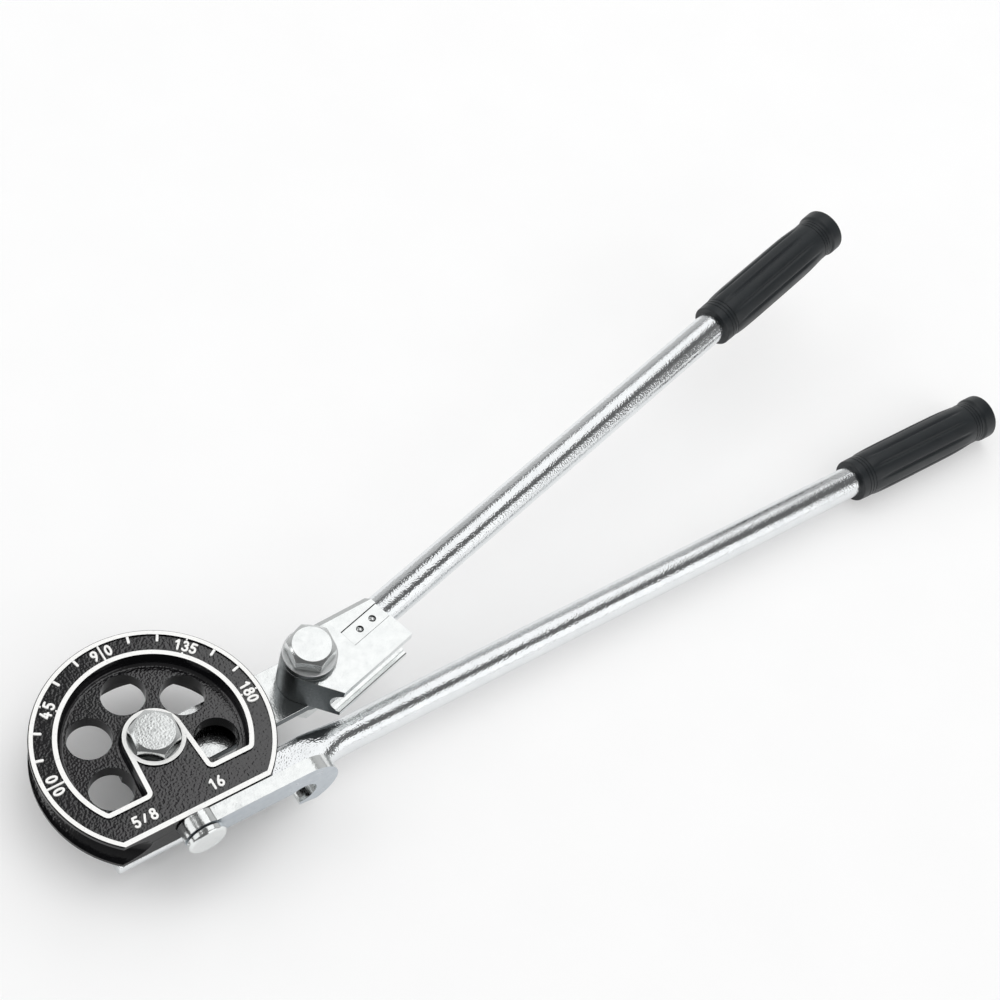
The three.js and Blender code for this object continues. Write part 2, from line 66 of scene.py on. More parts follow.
NECK_AT_FOOT = 15.5
HUB_RADIUS = 15
HUB_SEAT_RADIUS = 13
HUB_SEAT = 41.2
BORE_RADIUS = 7.3
HOLE_RADIUS = 11
HOLE_CIRCLE = 30
HOLE_TURNS = (-22, 34, 90, 146, 202)
LATCH_PIN_X = -1.5
LATCH_PIN_HEIGHT = 36.3
PIN_HOLE_RADIUS = 5.3
PIN_HOLE_DEPTH = 12.3
PAINT_LEVEL = WHEEL_TOP - 0.2

# Cutters run a little past a face, or through the whole tool. A hair tells near faces apart.
PAST = 6
THROUGH = 90
HAIR = 0.1


def linear(code):
    """A colour written as sRGB hex, in linear light."""
    parts = [int(code[i:i + 2], 16) / 255 for i in (1, 3, 5)]
    return (*[p / 12.92 if p <= 0.04045 else ((p + 0.055) / 1.055) ** 2.4 for p in parts], 1)


def add_node(tree, kind, values=(), links=(), **settings):
    """Adds a node with its settings, its sockets' values and what is linked into them."""
    node = tree.nodes.new(kind)
    for name, value in settings.items():
        setattr(node, name, value)
    for socket, value in dict(values).items():
        node.inputs[socket].default_value = value
    for socket, source in dict(links).items():
        tree.links.new(source, node.inputs[socket])
    return node


def new_material(name):
    """An empty material, with its place on the object in metres."""
    material = bpy.data.materials.new(name)
    material.use_nodes = True
    tree = material.node_tree
    tree.nodes.clear()
    place = add_node(tree, "ShaderNodeTexCoord").outputs["Object"]
    return material, tree, place


def per_metre(size):
    """How many grains of a size in millimetres go in a metre."""
    return 1 / (size * MM)


def mottled(tree, mottle, spread, gloss, colours, values, skin=None):
    """Ends a material whose gloss and shade both follow one mottling, over its bumps if it has any."""
    rough = add_node(tree, "ShaderNodeMapRange",
                     {"From Min": spread[0], "From Max": spread[1], "To Min": gloss[0], "To Max": gloss[1]},
                     {"Value": mottle.outputs["Fac"]})
    shade = add_node(tree, "ShaderNodeMix", {6: linear(colours[0]), 7: linear(colours[1])},
                     {0: mottle.outputs["Fac"]}, data_type="RGBA")
    links = {"Base Color": shade.outputs[2], "Roughness": rough.outputs[0]}
    if skin:
        links["Normal"] = skin.outputs[0]
    shader = add_node(tree, "ShaderNodeBsdfPrincipled", values, links)
    add_node(tree, "ShaderNodeOutputMaterial", links={"Surface": shader.outputs[0]})


def solid(bm):
    """Closes a shape, turns its faces outwards and hands it over as an object, still in millimetres."""
    bmesh.ops.remove_doubles(bm, verts=bm.verts, dist=0.0005)
    bmesh.ops.recalc_face_normals(bm, faces=bm.faces)
    mesh = bpy.data.meshes.new("blank")
    bm.to_mesh(mesh)
    bm.free()
    blank = bpy.data.objects.new("blank", mesh)
    bpy.context.scene.collection.objects.link(blank)
    return blank


def rod(radius, bottom, top, at=(0, 0), sides=64):
    bm = bmesh.new()
    middle = Matrix.Translation((*at, (bottom + top) / 2))
    bmesh.ops.create_cone(bm, cap_ends=True, segments=sides, radius1=radius, radius2=radius,
                          depth=top - bottom, matrix=middle)
    return solid(bm)


def brick(low, high):
    bm = bmesh.new()
    size = Vector(high) - Vector(low)
    middle = Matrix.Translation((Vector(low) + Vector(high)) / 2)
    bmesh.ops.create_cube(bm, size=1, matrix=middle @ Matrix.Diagonal((*size, 1)))
    return solid(bm)


def turned(profile, sides=96, ring=False):
    """Spins a profile of radius and height round Z. A ring's profile is a closed loop."""
    bm = bmesh.new()
    chain = [bm.verts.new((radius, 0, height)) for radius, height in profile]
    pairs = zip(chain, chain[1:] + chain[:1] if ring else chain[1:])
    edges = [bm.edges.new(pair) for pair in pairs]
    bmesh.ops.spin(bm, geom=chain + edges, cent=(0, 0, 0), axis=(0, 0, 1), angle=2 * math.pi,
                   steps=sides, use_merge=True)
    return solid(bm)


def hull(*blanks):
    """The tight skin round some shapes, such as the bar round two discs."""
    bm = bmesh.new()
    for blank in blanks:
        for vertex in blank.data.vertices:
            bm.verts.new(vertex.co)
        bpy.data.objects.remove(blank)
    skin = bmesh.ops.convex_hull(bm, input=bm.verts)
    spare = set(skin["geom_interior"] + skin["geom_unused"])
    bmesh.ops.delete(bm, geom=[v for v in bm.verts if v in spare], context="VERTS")
    bmesh.ops.dissolve_limit(bm, angle_limit=math.radians(0.2), verts=bm.verts, edges=bm.edges)
    return solid(bm)


def combined(base, operation, *tools):
    """Joins tools to a shape or cuts them from it, after what already eases the shape."""
    for tool in tools:
        step = base.modifiers.new("step", "BOOLEAN")
        step.operation = operation
        step.solver = "EXACT"
        step.object = tool
    graph = bpy.context.evaluated_depsgraph_get()
    mesh = bpy.data.meshes.new_from_object(base.evaluated_get(graph))
    base.modifiers.clear()
    base.data = mesh
    for tool in tools:
        bpy.data.objects.remove(tool)
    return base


def cut(base, *tools):
    return combined(base, "DIFFERENCE", *tools)


def trimmed(blank, point, outward):
    """Cuts a shape off flat at a plane and closes the cut."""
    bm = bmesh.new()
    bm.from_mesh(blank.data)
    geometry = bm.verts[:] + bm.edges[:] + bm.faces[:]
    sliced = bmesh.ops.bisect_plane(bm, geom=geometry, plane_co=point, plane_no=outward, clear_outer=True)
    rim = [e for e in sliced["geom_cut"] if isinstance(e, bmesh.types.BMEdge)]
    bmesh.ops.edgeloop_fill(bm, edges=rim)
    bpy.data.objects.remove(blank)
    return solid(bm)


def moved(blank, matrix):
    blank.data.transform(matrix)
    return blank


def eased(blank, width, steps=2, angle=30):
    """Eases every edge of a shape that is sharper than an angle."""
    ease = blank.modifiers.new("eased edges", "BEVEL")
    ease.width = width
    ease.segments = steps
    ease.limit_method = "ANGLE"
    ease.angle_limit = math.radians(angle)


def coated(blank, picked):
    """Gives the second material to the faces that a rule picks by their middle and direction."""
    for face in blank.data.polygons:
        face.material_index = 1 if picked(face.center, face.normal) else 0
    return blank


def finished(blank, name, body, materials, nodes, edge=0.25, steps=2, angle=30):
    """Puts a shape in place in metres, eases its edges and ties it to the frame."""
    blank.name = name
    blank.data.name = name
    blank.data.transform(Matrix.Scale(MM, 4))
    for material in materials:
        blank.data.materials.append(material)
    for face in blank.data.polygons:
        face.use_smooth = True
    blank.data.set_sharp_from_angle(angle=math.radians(angle))
    if edge:
        eased(blank, edge * MM, steps, angle)
    shade = blank.modifiers.new("even shading", "WEIGHTED_NORMAL")
    shade.keep_sharp = True
    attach(blank, body)
    if nodes:
        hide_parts(*nodes)
    return blank


def on_circle(radius, turn):
    """A point on a circle round the axis, at a turn in degrees."""
    return radius * math.cos(math.radians(turn)), radius * math.sin(math.radians(turn))


def arc(centre, radius, start, end, steps):
    """Points along an arc, from one turn to another in degrees."""
    spots = [on_circle(radius, start + (end - start) * step / steps) for step in range(steps + 1)]
    return [(centre[0] + x, centre[1] + y) for x, y in spots]


def pocket_outline(margin):
    """The pocket seen from above, drawn in by a margin: a disc cut off below, less the neck to the hub."""
    outer = POCKET_RADIUS - margin
    low = margin - POCKET_LOW
    hub = NECK_AT_HUB + margin
    corner = max(POCKET_CORNER - margin, LEAST_CORNER)
    lean = math.degrees(math.atan2(-POCKET_LOW, NECK_AT_FOOT)
                        + math.acos(NECK_AT_HUB / math.hypot(NECK_AT_FOOT, POCKET_LOW)))
    side = math.radians(lean)
    inner_corner = ((hub + corner - (low + corner) * math.sin(side)) / math.cos(side), low + corner)
    outer_corner = (math.sqrt((outer - corner) ** 2 - (low + corner) ** 2), low + corner)
    end = math.degrees(math.atan2(outer_corner[1], outer_corner[0]))
    right = arc(inner_corner, corner, 180 + lean, 270, 8) + arc(outer_corner, corner, -90, end, 8)
    rim = arc((0, 0), outer, end, 180 - end, 120)
    left = [(-x, y) for x, y in reversed(right)]
    neck = arc((0, 0), hub, 180 - lean, lean, 72)
    return right + rim[1:-1] + left + neck


def pocket(levels):
    """A shape through the pocket's outline at each level, given as a margin and a height."""
    bm = bmesh.new()
    loops = []
    for margin, height in levels:
        ring = [bm.verts.new((x, y, height)) for x, y in pocket_outline(margin)]
        loops.append([bm.edges.new(pair) for pair in zip(ring, ring[1:] + ring[:1])])
    for low, high in zip(loops, loops[1:]):
        bmesh.ops.bridge_loops(bm, edges=low + high)
    bmesh.ops.edgeloop_fill(bm, edges=loops[0])
    bmesh.ops.edgeloop_fill(bm, edges=loops[-1])
    return solid(bm)


def disc_with_flat(margin, bottom, top):
    disc = rod(RIM_RADIUS - margin, bottom, top, sides=160)
    return trimmed(disc, (0, margin - CHORD, 0), (0, -1, 0))


groove_reach = RIM_RADIUS - BEND_RADIUS
groove_turn = math.degrees(math.acos(groove_reach / GROOVE_RADIUS))
groove = arc((BEND_RADIUS, GROOVE_HEIGHT), GROOVE_RADIUS, -groove_turn, groove_turn - 360, 24)
wheel = turned([
    (0, WHEEL_BOTTOM),
    (RIM_RADIUS - RIM_EDGE, WHEEL_BOTTOM),
    (RIM_RADIUS, WHEEL_BOTTOM + RIM_EDGE),
    *groove,
    (RIM_RADIUS, WHEEL_TOP - RIM_EDGE),
    (RIM_RADIUS - RIM_EDGE, WHEEL_TOP),
    (0, WHEEL_TOP),
], sides=192)
wheel = trimmed(wheel, (0, -CHORD, 0), (0, -1, 0))
dial = cut(
    disc_with_flat(RIM_LINE_INSET + RIM_LINE_WIDTH, DIAL_FACE, WHEEL_TOP + PAST),
    pocket([(-POCKET_LINE / 2, DIAL_FACE - PAST), (-POCKET_LINE / 2, WHEEL_TOP + 2 * PAST)]),
    rod(HUB_RADIUS, DIAL_FACE - PAST, WHEEL_TOP + 2 * PAST, sides=96),
)
holes = [rod(HOLE_RADIUS, 0, WHEEL_TOP, at=on_circle(HOLE_CIRCLE, turn)) for turn in HOLE_TURNS]
pin_hole = moved(
    rod(PIN_HOLE_RADIUS, CHORD - PIN_HOLE_DEPTH, CHORD + PAST, sides=32),
    Matrix.Translation((LATCH_PIN_X, 0, LATCH_PIN_HEIGHT)) @ Matrix.Rotation(math.pi / 2, 4, "X"),
)
foot = POCKET_LINE / 2 + POCKET_DRAFT
fillet = arc((foot + POCKET_FILLET, POCKET_FLOOR + POCKET_FILLET), POCKET_FILLET, -90, -180, 4)
cut(
    wheel,
    dial,
    pocket([*fillet, (POCKET_LINE / 2, WHEEL_TOP), (POCKET_LINE / 2, WHEEL_TOP + PAST)]),
    pocket([(2 * POCKET_LINE, 0), (2 * POCKET_LINE, WEB_BOTTOM)]),
    *holes,
    rod(BORE_RADIUS, 0, WHEEL_TOP + PAST),
    rod(HUB_SEAT_RADIUS, HUB_SEAT, WHEEL_TOP + PAST, sides=96),
    pin_hole,
)
for face in wheel.data.polygons:
    on_lines = face.normal.z > 0.5 and face.center.z > PAINT_LEVEL
    in_seat = face.center.z > HUB_SEAT - HAIR and face.center.xy.length < HUB_SEAT_RADIUS - HAIR
    face.material_index = 1 if on_lines else 2 if in_seat else 0

# Stoved black enamel on rough iron: deep black and glossy, with the pebbled skin of the sand mould under
# it, so the flat faces break the light into grey flecks. The pebbles are drawn about twice as coarse as
# moulding sand, so that they show. The walls are drawn rougher and less reflective, a painted shade on them.
enamel, tree, place = new_material("black_enamel_on_cast_iron")
MOULD_GRAIN = 1.1
PEBBLE_DEPTH = 0.14
FINE_GRAIN = 0.5
FINE_DEPTH = 0.004
pebbles = add_node(tree, "ShaderNodeTexNoise", {"Scale": per_metre(MOULD_GRAIN), "Detail": 0.5},
                   {"Vector": place})
fine = add_node(tree, "ShaderNodeTexNoise", {"Scale": per_metre(FINE_GRAIN), "Detail": 1}, {"Vector": place})
normal = add_node(tree, "ShaderNodeNewGeometry").outputs["Normal"]
up = add_node(tree, "ShaderNodeSeparateXYZ", links={0: normal}).outputs["Z"]
flat_share = add_node(tree, "ShaderNodeMapRange", {"From Min": 0.5, "From Max": 0.95}, {"Value": up})
grit = add_node(tree, "ShaderNodeMath", links={0: flat_share.outputs[0], 1: pebbles.outputs["Fac"]},
                operation="MULTIPLY")
gloss = add_node(tree, "ShaderNodeMapRange", {"From Min": 0, "From Max": 1, "To Min": 0.2, "To Max": 0.14},
                 {"Value": flat_share.outputs[0]})
# Painted shade: the upright walls reflect a fifth as much as the flat faces, so that they render darker.
wall_painted_shade = add_node(tree, "ShaderNodeMapRange", {"From Min": 0, "From Max": 1, "To Min": 0.1, "To Max": 0.5},
                 {"Value": flat_share.outputs[0]})
shade = add_node(tree, "ShaderNodeMix", {6: linear("#0b0b0d"), 7: linear("#151517")},
                 {0: pebbles.outputs["Fac"]}, data_type="RGBA")
rough_skin = add_node(tree, "ShaderNodeBump", {"Strength": 1, "Distance": PEBBLE_DEPTH * MM},
                      {"Height": grit.outputs[0]})
skin = add_node(tree, "ShaderNodeBump", {"Strength": 0.5, "Distance": FINE_DEPTH * MM},
                {"Height": fine.outputs["Fac"], "Normal": rough_skin.outputs[0]})
shader = add_node(tree, "ShaderNodeBsdfPrincipled", {"IOR": 1.85},
                  {"Base Color": shade.outputs[2], "Roughness": gloss.outputs[0], "Normal": skin.outputs[0],
                   "Specular IOR Level": wall_painted_shade.outputs[0]})
add_node(tree, "ShaderNodeOutputMaterial", links={"Surface": shader.outputs[0]})

# White paint rolled on the raised lines: nearly matt, a little thin where the casting is rough.
white_paint, tree, place = new_material("white_paint_on_raised_lines")
PAINT_PATCH = 1.6
PAINT_DEPTH = 0.03
thin = add_node(tree, "ShaderNodeTexNoise", {"Scale": per_metre(PAINT_PATCH), "Detail": 4}, {"Vector": place})
worn = add_node(tree, "ShaderNodeMapRange", {"From Min": 0.62, "From Max": 0.8}, {"Value": thin.outputs["Fac"]})
shade = add_node(tree, "ShaderNodeMix", {6: linear("#f4f4f2"), 7: linear("#c9c9cb")},
                 {0: worn.outputs[0]}, data_type="RGBA")
skin = add_node(tree, "ShaderNodeBump", {"Strength": 0.4, "Distance": PAINT_DEPTH * MM},
                {"Height": thin.outputs["Fac"]})
shader = add_node(tree, "ShaderNodeBsdfPrincipled", {"Roughness": 0.45},
                  {"Base Color": shade.outputs[2], "Normal": skin.outputs[0]})
add_node(tree, "ShaderNodeOutputMaterial", links={"Surface": shader.outputs[0]})

# The bolt's seat is milled bare: bright, satin iron with fine turning marks.
bare_iron, tree, place = new_material("milled_iron_seat")
TURNING_MARK = 0.5
turning = add_node(tree, "ShaderNodeTexNoise", {"Scale": per_metre(TURNING_MARK), "Detail": 2},
                   {"Vector": place})
mottled(tree, turning, (0.3, 0.7), (0.38, 0.5), ("#f0f1f0", "#dcdedd"), {"Metallic": 1})

finished(wheel, "wheel_casting", "former", [enamel, white_paint, bare_iron], ["form_wheel"],
         edge=0.22)


# Dial marks. Short bars and plain numbers cast proud of the dial and painted white with the lines: the
# angle from 0 to 180 round the rim, and the tube's size beside the flat.
MARK_TOP = 44.35
MARK_FOOT = 43.3
TICK_OUTER = 55.9
TICK_INNER = 51.7
TICK_WIDTH = 1.25
LINE_INNER = 46.6
LINE_WIDTH = 0.9
NUB_LENGTH = 0.7
LAP = 0.6
LAYER = 0.01
NUMERAL_HEIGHT = 6
NUMERAL_CIRCLE = 51.4
STROKE = 1.05
marks = bmesh.new()


def stroke(points, width, place, closed=False):
    """Lays a raised bar of one width along some points, with round ends unless it closes on itself."""
    spots = [Vector(point) for point in points]
    count = len(spots)
    half = width / 2
    rows = []
    for index, spot in enumerate(spots):
        before = spots[index - 1] if closed or index else spot
        after = spots[(index + 1) % count] if closed or index < count - 1 else spot
        ahead = (after - before).normalized()
        across = Vector((-ahead.y, ahead.x))
        if not closed and index in (0, count - 1):
            way = -1 if index == 0 else 1
            caps = [(spot + ahead * way * half * math.sin(turn), half * math.cos(turn))
                    for turn in (math.pi / 2 - 0.05, math.pi / 3, math.pi / 6)]
            caps = [(at, across * reach) for at, reach in caps]
            rows += caps + [(spot, across * half)] if index == 0 else [(spot, across * half)] + caps[::-1]
        else:
            leg = (spot - before).normalized() if spot != before else ahead
            rows.append((spot, across * half / max(leg.dot(ahead), 0.5)))
    sections = []
    for at, reach in rows:
        sides = [at + reach, at - reach]
        corners = [Vector((*side, height)) for height in (MARK_FOOT, MARK_TOP) for side in sides]
        sections.append([marks.verts.new(place @ corner) for corner in corners])
    pairs = list(zip(sections, sections[1:] + sections[:1] if closed else sections[1:]))
    for (a, b, c, d), (e, f, g, h) in pairs:
        for face in ((a, b, f, e), (c, g, h, d), (a, e, g, c), (b, d, h, f)):
            marks.faces.new(face)
    if not closed:
        for a, b, c, d in (sections[0], sections[-1]):
            marks.faces.new((a, b, d, c))


def around(turn):
    return Matrix.Rotation(math.radians(turn), 4, "Z")


for turn in (15, 30, 60, 75, 105, 120, 150, 165):
    stroke([(TICK_INNER + TICK_WIDTH / 2, 0), (TICK_OUTER + LAP, 0)], TICK_WIDTH, around(turn))
for turn in (90.7, 181):
    stroke([(LINE_INNER, 0), (TICK_OUTER, 0)], LINE_WIDTH, around(turn))
for turn in (0, 45, 135):
    stroke([(LINE_INNER - LAP, 0), (LINE_INNER + NUB_LENGTH, 0)], LINE_WIDTH, around(turn))
    stroke([(TICK_OUTER - NUB_LENGTH, 0), (TICK_OUTER + LAP, 0)], LINE_WIDTH, around(turn))

# Each figure's strokes on a field one high: its points, and whether the stroke closes on itself.
loop = arc((0, 0), 1, 0, 342, 19)
figures = {
    "0": [([(0.2 * x, 0.41 * y) for x, y in loop], True)],
    "1": [([(-0.14, 0.24), (0.03, 0.4)], False), ([(0.05, 0.41), (0.05, -0.41)], False)],
    "3": [([(0.17 * x, 0.22 + 0.19 * y) for x, y in arc((0, 0), 1, 150, -90, 10)], False),
          ([(0.21 * x, -0.19 + 0.22 * y) for x, y in arc((0, 0), 1, 90, -150, 11)], False)],
    "4": [([(0.02, 0.41), (-0.21, -0.15)], False), ([(-0.21, -0.15), (0.24, -0.15)], False),
          ([(0.1, 0.1), (0.1, -0.41)], False)],
    "5": [([(0.19, 0.41), (-0.13, 0.41)], False), ([(-0.13, 0.4), (-0.17, 0.05)], False),
          ([(0.21 * x, -0.16 + 0.25 * y) for x, y in arc((0, 0), 1, 125, -150, 12)], False)],
    "6": [([(0.2 * x, -0.19 + 0.22 * y) for x, y in loop], True),
          ([(0.08, 0.41), (-0.08, 0.17), (-0.18, -0.08)], False)],
    "8": [([(0.17 * x, 0.22 + 0.19 * y) for x, y in loop], True),
          ([(0.21 * x, -0.19 + 0.22 * y) for x, y in loop], True)],
    "/": [([(-0.12, -0.28), (0.12, 0.28)], False)],
}
figures["9"] = [([(-x, -y) for x, y in points], closed) for points, closed in figures["6"]]


def numeral(figure, at, turn):
    """Lays a figure's strokes, each a hair lower than the last, so that no two tops lie in one plane."""
    for layer, (points, closed) in enumerate(figures[figure]):
        place = Matrix.Translation((*at, -LAYER * layer)) @ around(turn)
        stroke([(NUMERAL_HEIGHT * x, NUMERAL_HEIGHT * y) for x, y in points], STROKE, place, closed)


DIAL_NUMBERS = {
    "180": (4.4, -0.1, -4.5), "135": (48.9, 44.6, 40.2), "90": (94.7, 86.7), "45": (139, 133.3),
    "00": (176.8, 184.7),
}
for number, turns in DIAL_NUMBERS.items():
    for figure, turn in zip(number, turns):
        numeral(figure, on_circle(NUMERAL_CIRCLE, turn), turn - 90)
SIZE_NUMBERS = {"5": -28, "/": -23.6, "8": -19.1, "1": 11.9, "6": 15.8}
SIZE_LINE = -34.6
for figure, across in SIZE_NUMBERS.items():
    numeral(figure, (across, SIZE_LINE), 0)
dial_marks = solid(marks)
finished(dial_marks, "dial_marks", "former", [white_paint], [], edge=0)


# Fixed handle. One steel tube, bright zinc plated: pressed flat where it is screwed under the wheel,
# and round from there to the grip.
TUBE_RADIUS = 9
BAR_THICKNESS = 10
BAR_WIDTH = 21.6
BAR_Y = -32.6
BAR_HEIGHT = 17.8
BAR_TAIL = -40
BAR_END = 66
ROUND_FROM = 90
TUBE_Y = -30.64
TUBE_HEIGHT = 13.3
TUBE_END = 531.1
TUBE_SIDES = 64
EASE_STEPS = 8


def pressed(share):
    """A point round the pressed tube's section, by its share of the way round."""
    half = BAR_THICKNESS / 2
    flat = BAR_WIDTH / 2 - half
    quarter = math.pi * half / 2 + flat
    turn = int(share * 4) % 4
    along = (share * 4 - int(share * 4)) * quarter
    climb = along if turn % 2 == 0 else quarter - along
    bend = min(climb, math.pi * half / 2) / half
    y = flat + half * math.cos(bend) - max(0, climb - math.pi * half / 2)
    z = half * math.sin(bend)
    return (y if turn in (0, 3) else -y), (z if turn < 2 else -z)


bm = bmesh.new()
length = TUBE_END - BAR_TAIL
lay = Matrix.Translation(((TUBE_END + BAR_TAIL) / 2, 0, 0)) @ Matrix.Rotation(math.pi / 2, 4, "Y")
bmesh.ops.create_cone(bm, cap_ends=True, segments=TUBE_SIDES, radius1=1, radius2=1, depth=length, matrix=lay)
stations = [BAR_END + (ROUND_FROM - BAR_END) * step / EASE_STEPS for step in range(EASE_STEPS + 1)]
for station in stations:
    bmesh.ops.bisect_plane(bm, geom=bm.verts[:] + bm.edges[:] + bm.faces[:], plane_co=(station, 0, 0),
                           plane_no=(1, 0, 0))
for vertex in bm.verts:
    share = (math.atan2(vertex.co.z, vertex.co.y) / (2 * math.pi)) % 1
    way = min(max((vertex.co.x - BAR_END) / (ROUND_FROM - BAR_END), 0), 1)
    ease = way * way * (3 - 2 * way)
    flat_y, flat_z = pressed(share)
    vertex.co.y = (BAR_Y + flat_y) * (1 - ease) + (TUBE_Y + TUBE_RADIUS * vertex.co.y) * ease
    vertex.co.z = (BAR_HEIGHT + flat_z) * (1 - ease) + (TUBE_HEIGHT + TUBE_RADIUS * vertex.co.z) * ease
fixed_tube = solid(bm)

# Bright zinc plate on drawn tube: a cold, nearly mirror metal, whose speckle breaks up the long streaks
# of light. The real speckle is about 0.2 mm and is drawn coarser, so that it shows.
tube_zinc, tree, place = new_material("bright_zinc_on_drawn_tube")
SPECKLE = 0.85
SPECKLE_DEPTH = 0.11
CLOUD = 9
speckle = add_node(tree, "ShaderNodeTexNoise", {"Scale": per_metre(SPECKLE), "Detail": 0}, {"Vector": place})
cloud = add_node(tree, "ShaderNodeTexNoise", {"Scale": per_metre(CLOUD), "Detail": 3}, {"Vector": place})
skin = add_node(tree, "ShaderNodeBump", {"Strength": 1, "Distance": SPECKLE_DEPTH * MM},
                {"Height": speckle.outputs["Fac"]})
mottled(tree, cloud, (0.35, 0.65), (0.13, 0.18), ("#f0f2f3", "#e3e6e8"), {"Metallic": 1}, skin)
finished(fixed_tube, "fixed_tube", "former", [tube_zinc], ["fixed_handle_tube"], edge=0.4)


# Grips. Two like sleeves of soft PVC, moulded and pushed on the tubes: a thin lip at the open end, ringed
# bands at both ends, ten grooves along the belly, and a flat end flange.
GRIP_LENGTH = 106
GRIP_RADIUS = 13.2
FLUTES = 10
FLUTE_DEPTH = 0.85
FLUTE_FROM = 11
FLUTE_FULL = 20
FLUTE_LESS = 77
FLUTE_TO = 87
FIXED_FLUTE_TURN = 18
MOVING_FLUTE_TURN = 27
FLUTE_NARROWING = 8
RING_DEPTH = 0.28
GRIP_SIDES = 240
GRIP_FIT = 0.05
FIXED_GRIP_START = 434.4


def band(start, radius, pitch):
    """The outline of three fine rings cut round the sleeve, one pitch apart."""
    points = []
    for edge in (start, start + pitch, start + 2 * pitch):
        points += [(edge, radius), (edge + 0.15, radius - RING_DEPTH),
                   (edge + 0.4, radius - RING_DEPTH), (edge + 0.55, radius)]
    return points


# The sleeve's outline: a length along it, and its radius there.
grip_profile = [
    (0, 0), (0, 11.5), (0.25, 12), (0.9, 12.2), (4.4, 12.25), *band(4.6, 12.3, 2.2),
    (12, 12.75), (16, 13), (21, 13.12), (30, 13.2), (45, 13.2), (60, 13.2), (72, 13.15), (78, 13),
    (83, 12.7), (87, 12.4), (89.5, 12.22), *band(91, 12.2, 2),
    (96.5, 12.2), (97.2, 12.4), (97.8, 12.9), (98.3, 13.12), (99, 13.2), (104.6, 13.2), (105.3, 13.1),
    (105.8, 12.75), (106, 12.2), (106, 0),
]

# Soft black PVC: a dark blue-black that shines a little, with fine moulding grain.
grip_rubber, tree, place = new_material("black_soft_pvc")
GRIP_GRAIN = 0.8
GRAIN_DEPTH = 0.02
GRIP_PATCH = 14
grain = add_node(tree, "ShaderNodeTexNoise", {"Scale": per_metre(GRIP_GRAIN), "Detail": 2}, {"Vector": place})
patch = add_node(tree, "ShaderNodeTexNoise", {"Scale": per_metre(GRIP_PATCH), "Detail": 3}, {"Vector": place})
skin = add_node(tree, "ShaderNodeBump", {"Strength": 0.5, "Distance": GRAIN_DEPTH * MM},
                {"Height": grain.outputs["Fac"]})
mottled(tree, patch, (0.3, 0.7), (0.36, 0.5), ("#14181b", "#1d2225"), {"IOR": 1.5}, skin)


def grip(flute_turn):
    """One sleeve with its grooves pressed in, bored for the tube."""
    blank = turned([(radius, along) for along, radius in grip_profile], sides=GRIP_SIDES)
    for vertex in blank.data.vertices:
        along = vertex.co.z
        rise = min(max((along - FLUTE_FROM) / (FLUTE_FULL - FLUTE_FROM), 0), 1)
        fall = min(max((FLUTE_TO - along) / (FLUTE_TO - FLUTE_LESS), 0), 1)
        radius = math.hypot(vertex.co.x, vertex.co.y)
        if radius > GRIP_RADIUS / 2 and rise * fall > 0:
            turn = (math.atan2(vertex.co.y, vertex.co.x) - math.radians(flute_turn)) * FLUTES
            dip = FLUTE_DEPTH * rise * fall * ((1 + math.cos(turn)) / 2) ** FLUTE_NARROWING
            vertex.co.x *= 1 - dip / radius
            vertex.co.y *= 1 - dip / radius
    return cut(blank, rod(TUBE_RADIUS + GRIP_FIT, -PAST, GRIP_LENGTH - TUBE_RADIUS))


along_x = Matrix.Rotation(math.pi / 2, 4, "Y")
fixed_grip = moved(grip(FIXED_FLUTE_TURN),
                   Matrix.Translation((FIXED_GRIP_START, TUBE_Y, TUBE_HEIGHT)) @ along_x)
finished(fixed_grip, "fixed_handle_grip", "former", [grip_rubber], ["fixed_grip"], edge=0)


# Centre bolt. An M14 hexagon bolt and nut with a washer, in bright zinc plated steel, which holds the
# wheel, the link's bronze bush and the handle together and is the pin that the link swings on.
HEX_FLATS = 22
HEX_CHAMFER = 1.14
HEX_CHAMFER_TURN = 30
BEARING_FACE = 0.8
BEARING_INSET = 1
CENTRE_DOT_RADIUS = 0.55
CENTRE_DOT_DEPTH = 0.35
BOLT_RADIUS = 7
BOLT_POINT = 1.2
WASHER_RADIUS = 13.8
WASHER_BOTTOM = 15
WASHER_TOP = 17.5
NUT_BOTTOM = 2.7
NUT_TOP = 14.7
NUT_FIT = 0.1
LINK_BOTTOM = 17.8
LINK_TOP = 22.8
CENTRE_HEAD_BOTTOM = 41.5
CENTRE_HEAD_TOP = 50.3
CENTRE_HEX_TURN = 23.5
NUT_HEX_TURN = 12
THREAD_PITCH = 2
THREAD_DEPTH = 0.7
THREAD_CREST = 0.3
THREAD_ROOT = 0.1
ROLLED_IN = 0.4
ROLLED_DOWN = 0.5

# Bright zinc on forged steel: nearly white where it faces the light, with a sandy grain and faint clouds
# that break up its reflections. The real sand is about 0.3 mm and is drawn coarser, so that it shows.
forged_zinc, tree, place = new_material("bright_zinc_on_forged_steel")
CLOUD_SIZE = 5
SAND_SIZE = 1.0
SAND_DEPTH = 0.04
clouds = add_node(tree, "ShaderNodeTexNoise", {"Scale": per_metre(CLOUD_SIZE), "Detail": 4, "Roughness": 0.6},
                  {"Vector": place})
sand = add_node(tree, "ShaderNodeTexNoise", {"Scale": per_metre(SAND_SIZE), "Detail": 0.5}, {"Vector": place})
skin = add_node(tree, "ShaderNodeBump", {"Strength": 1, "Distance": SAND_DEPTH * MM},
                {"Height": sand.outputs["Fac"]})
mottled(tree, clouds, (0.35, 0.65), (0.13, 0.22), ("#f4f6f5", "#e6e9e9"), {"Metallic": 1}, skin)
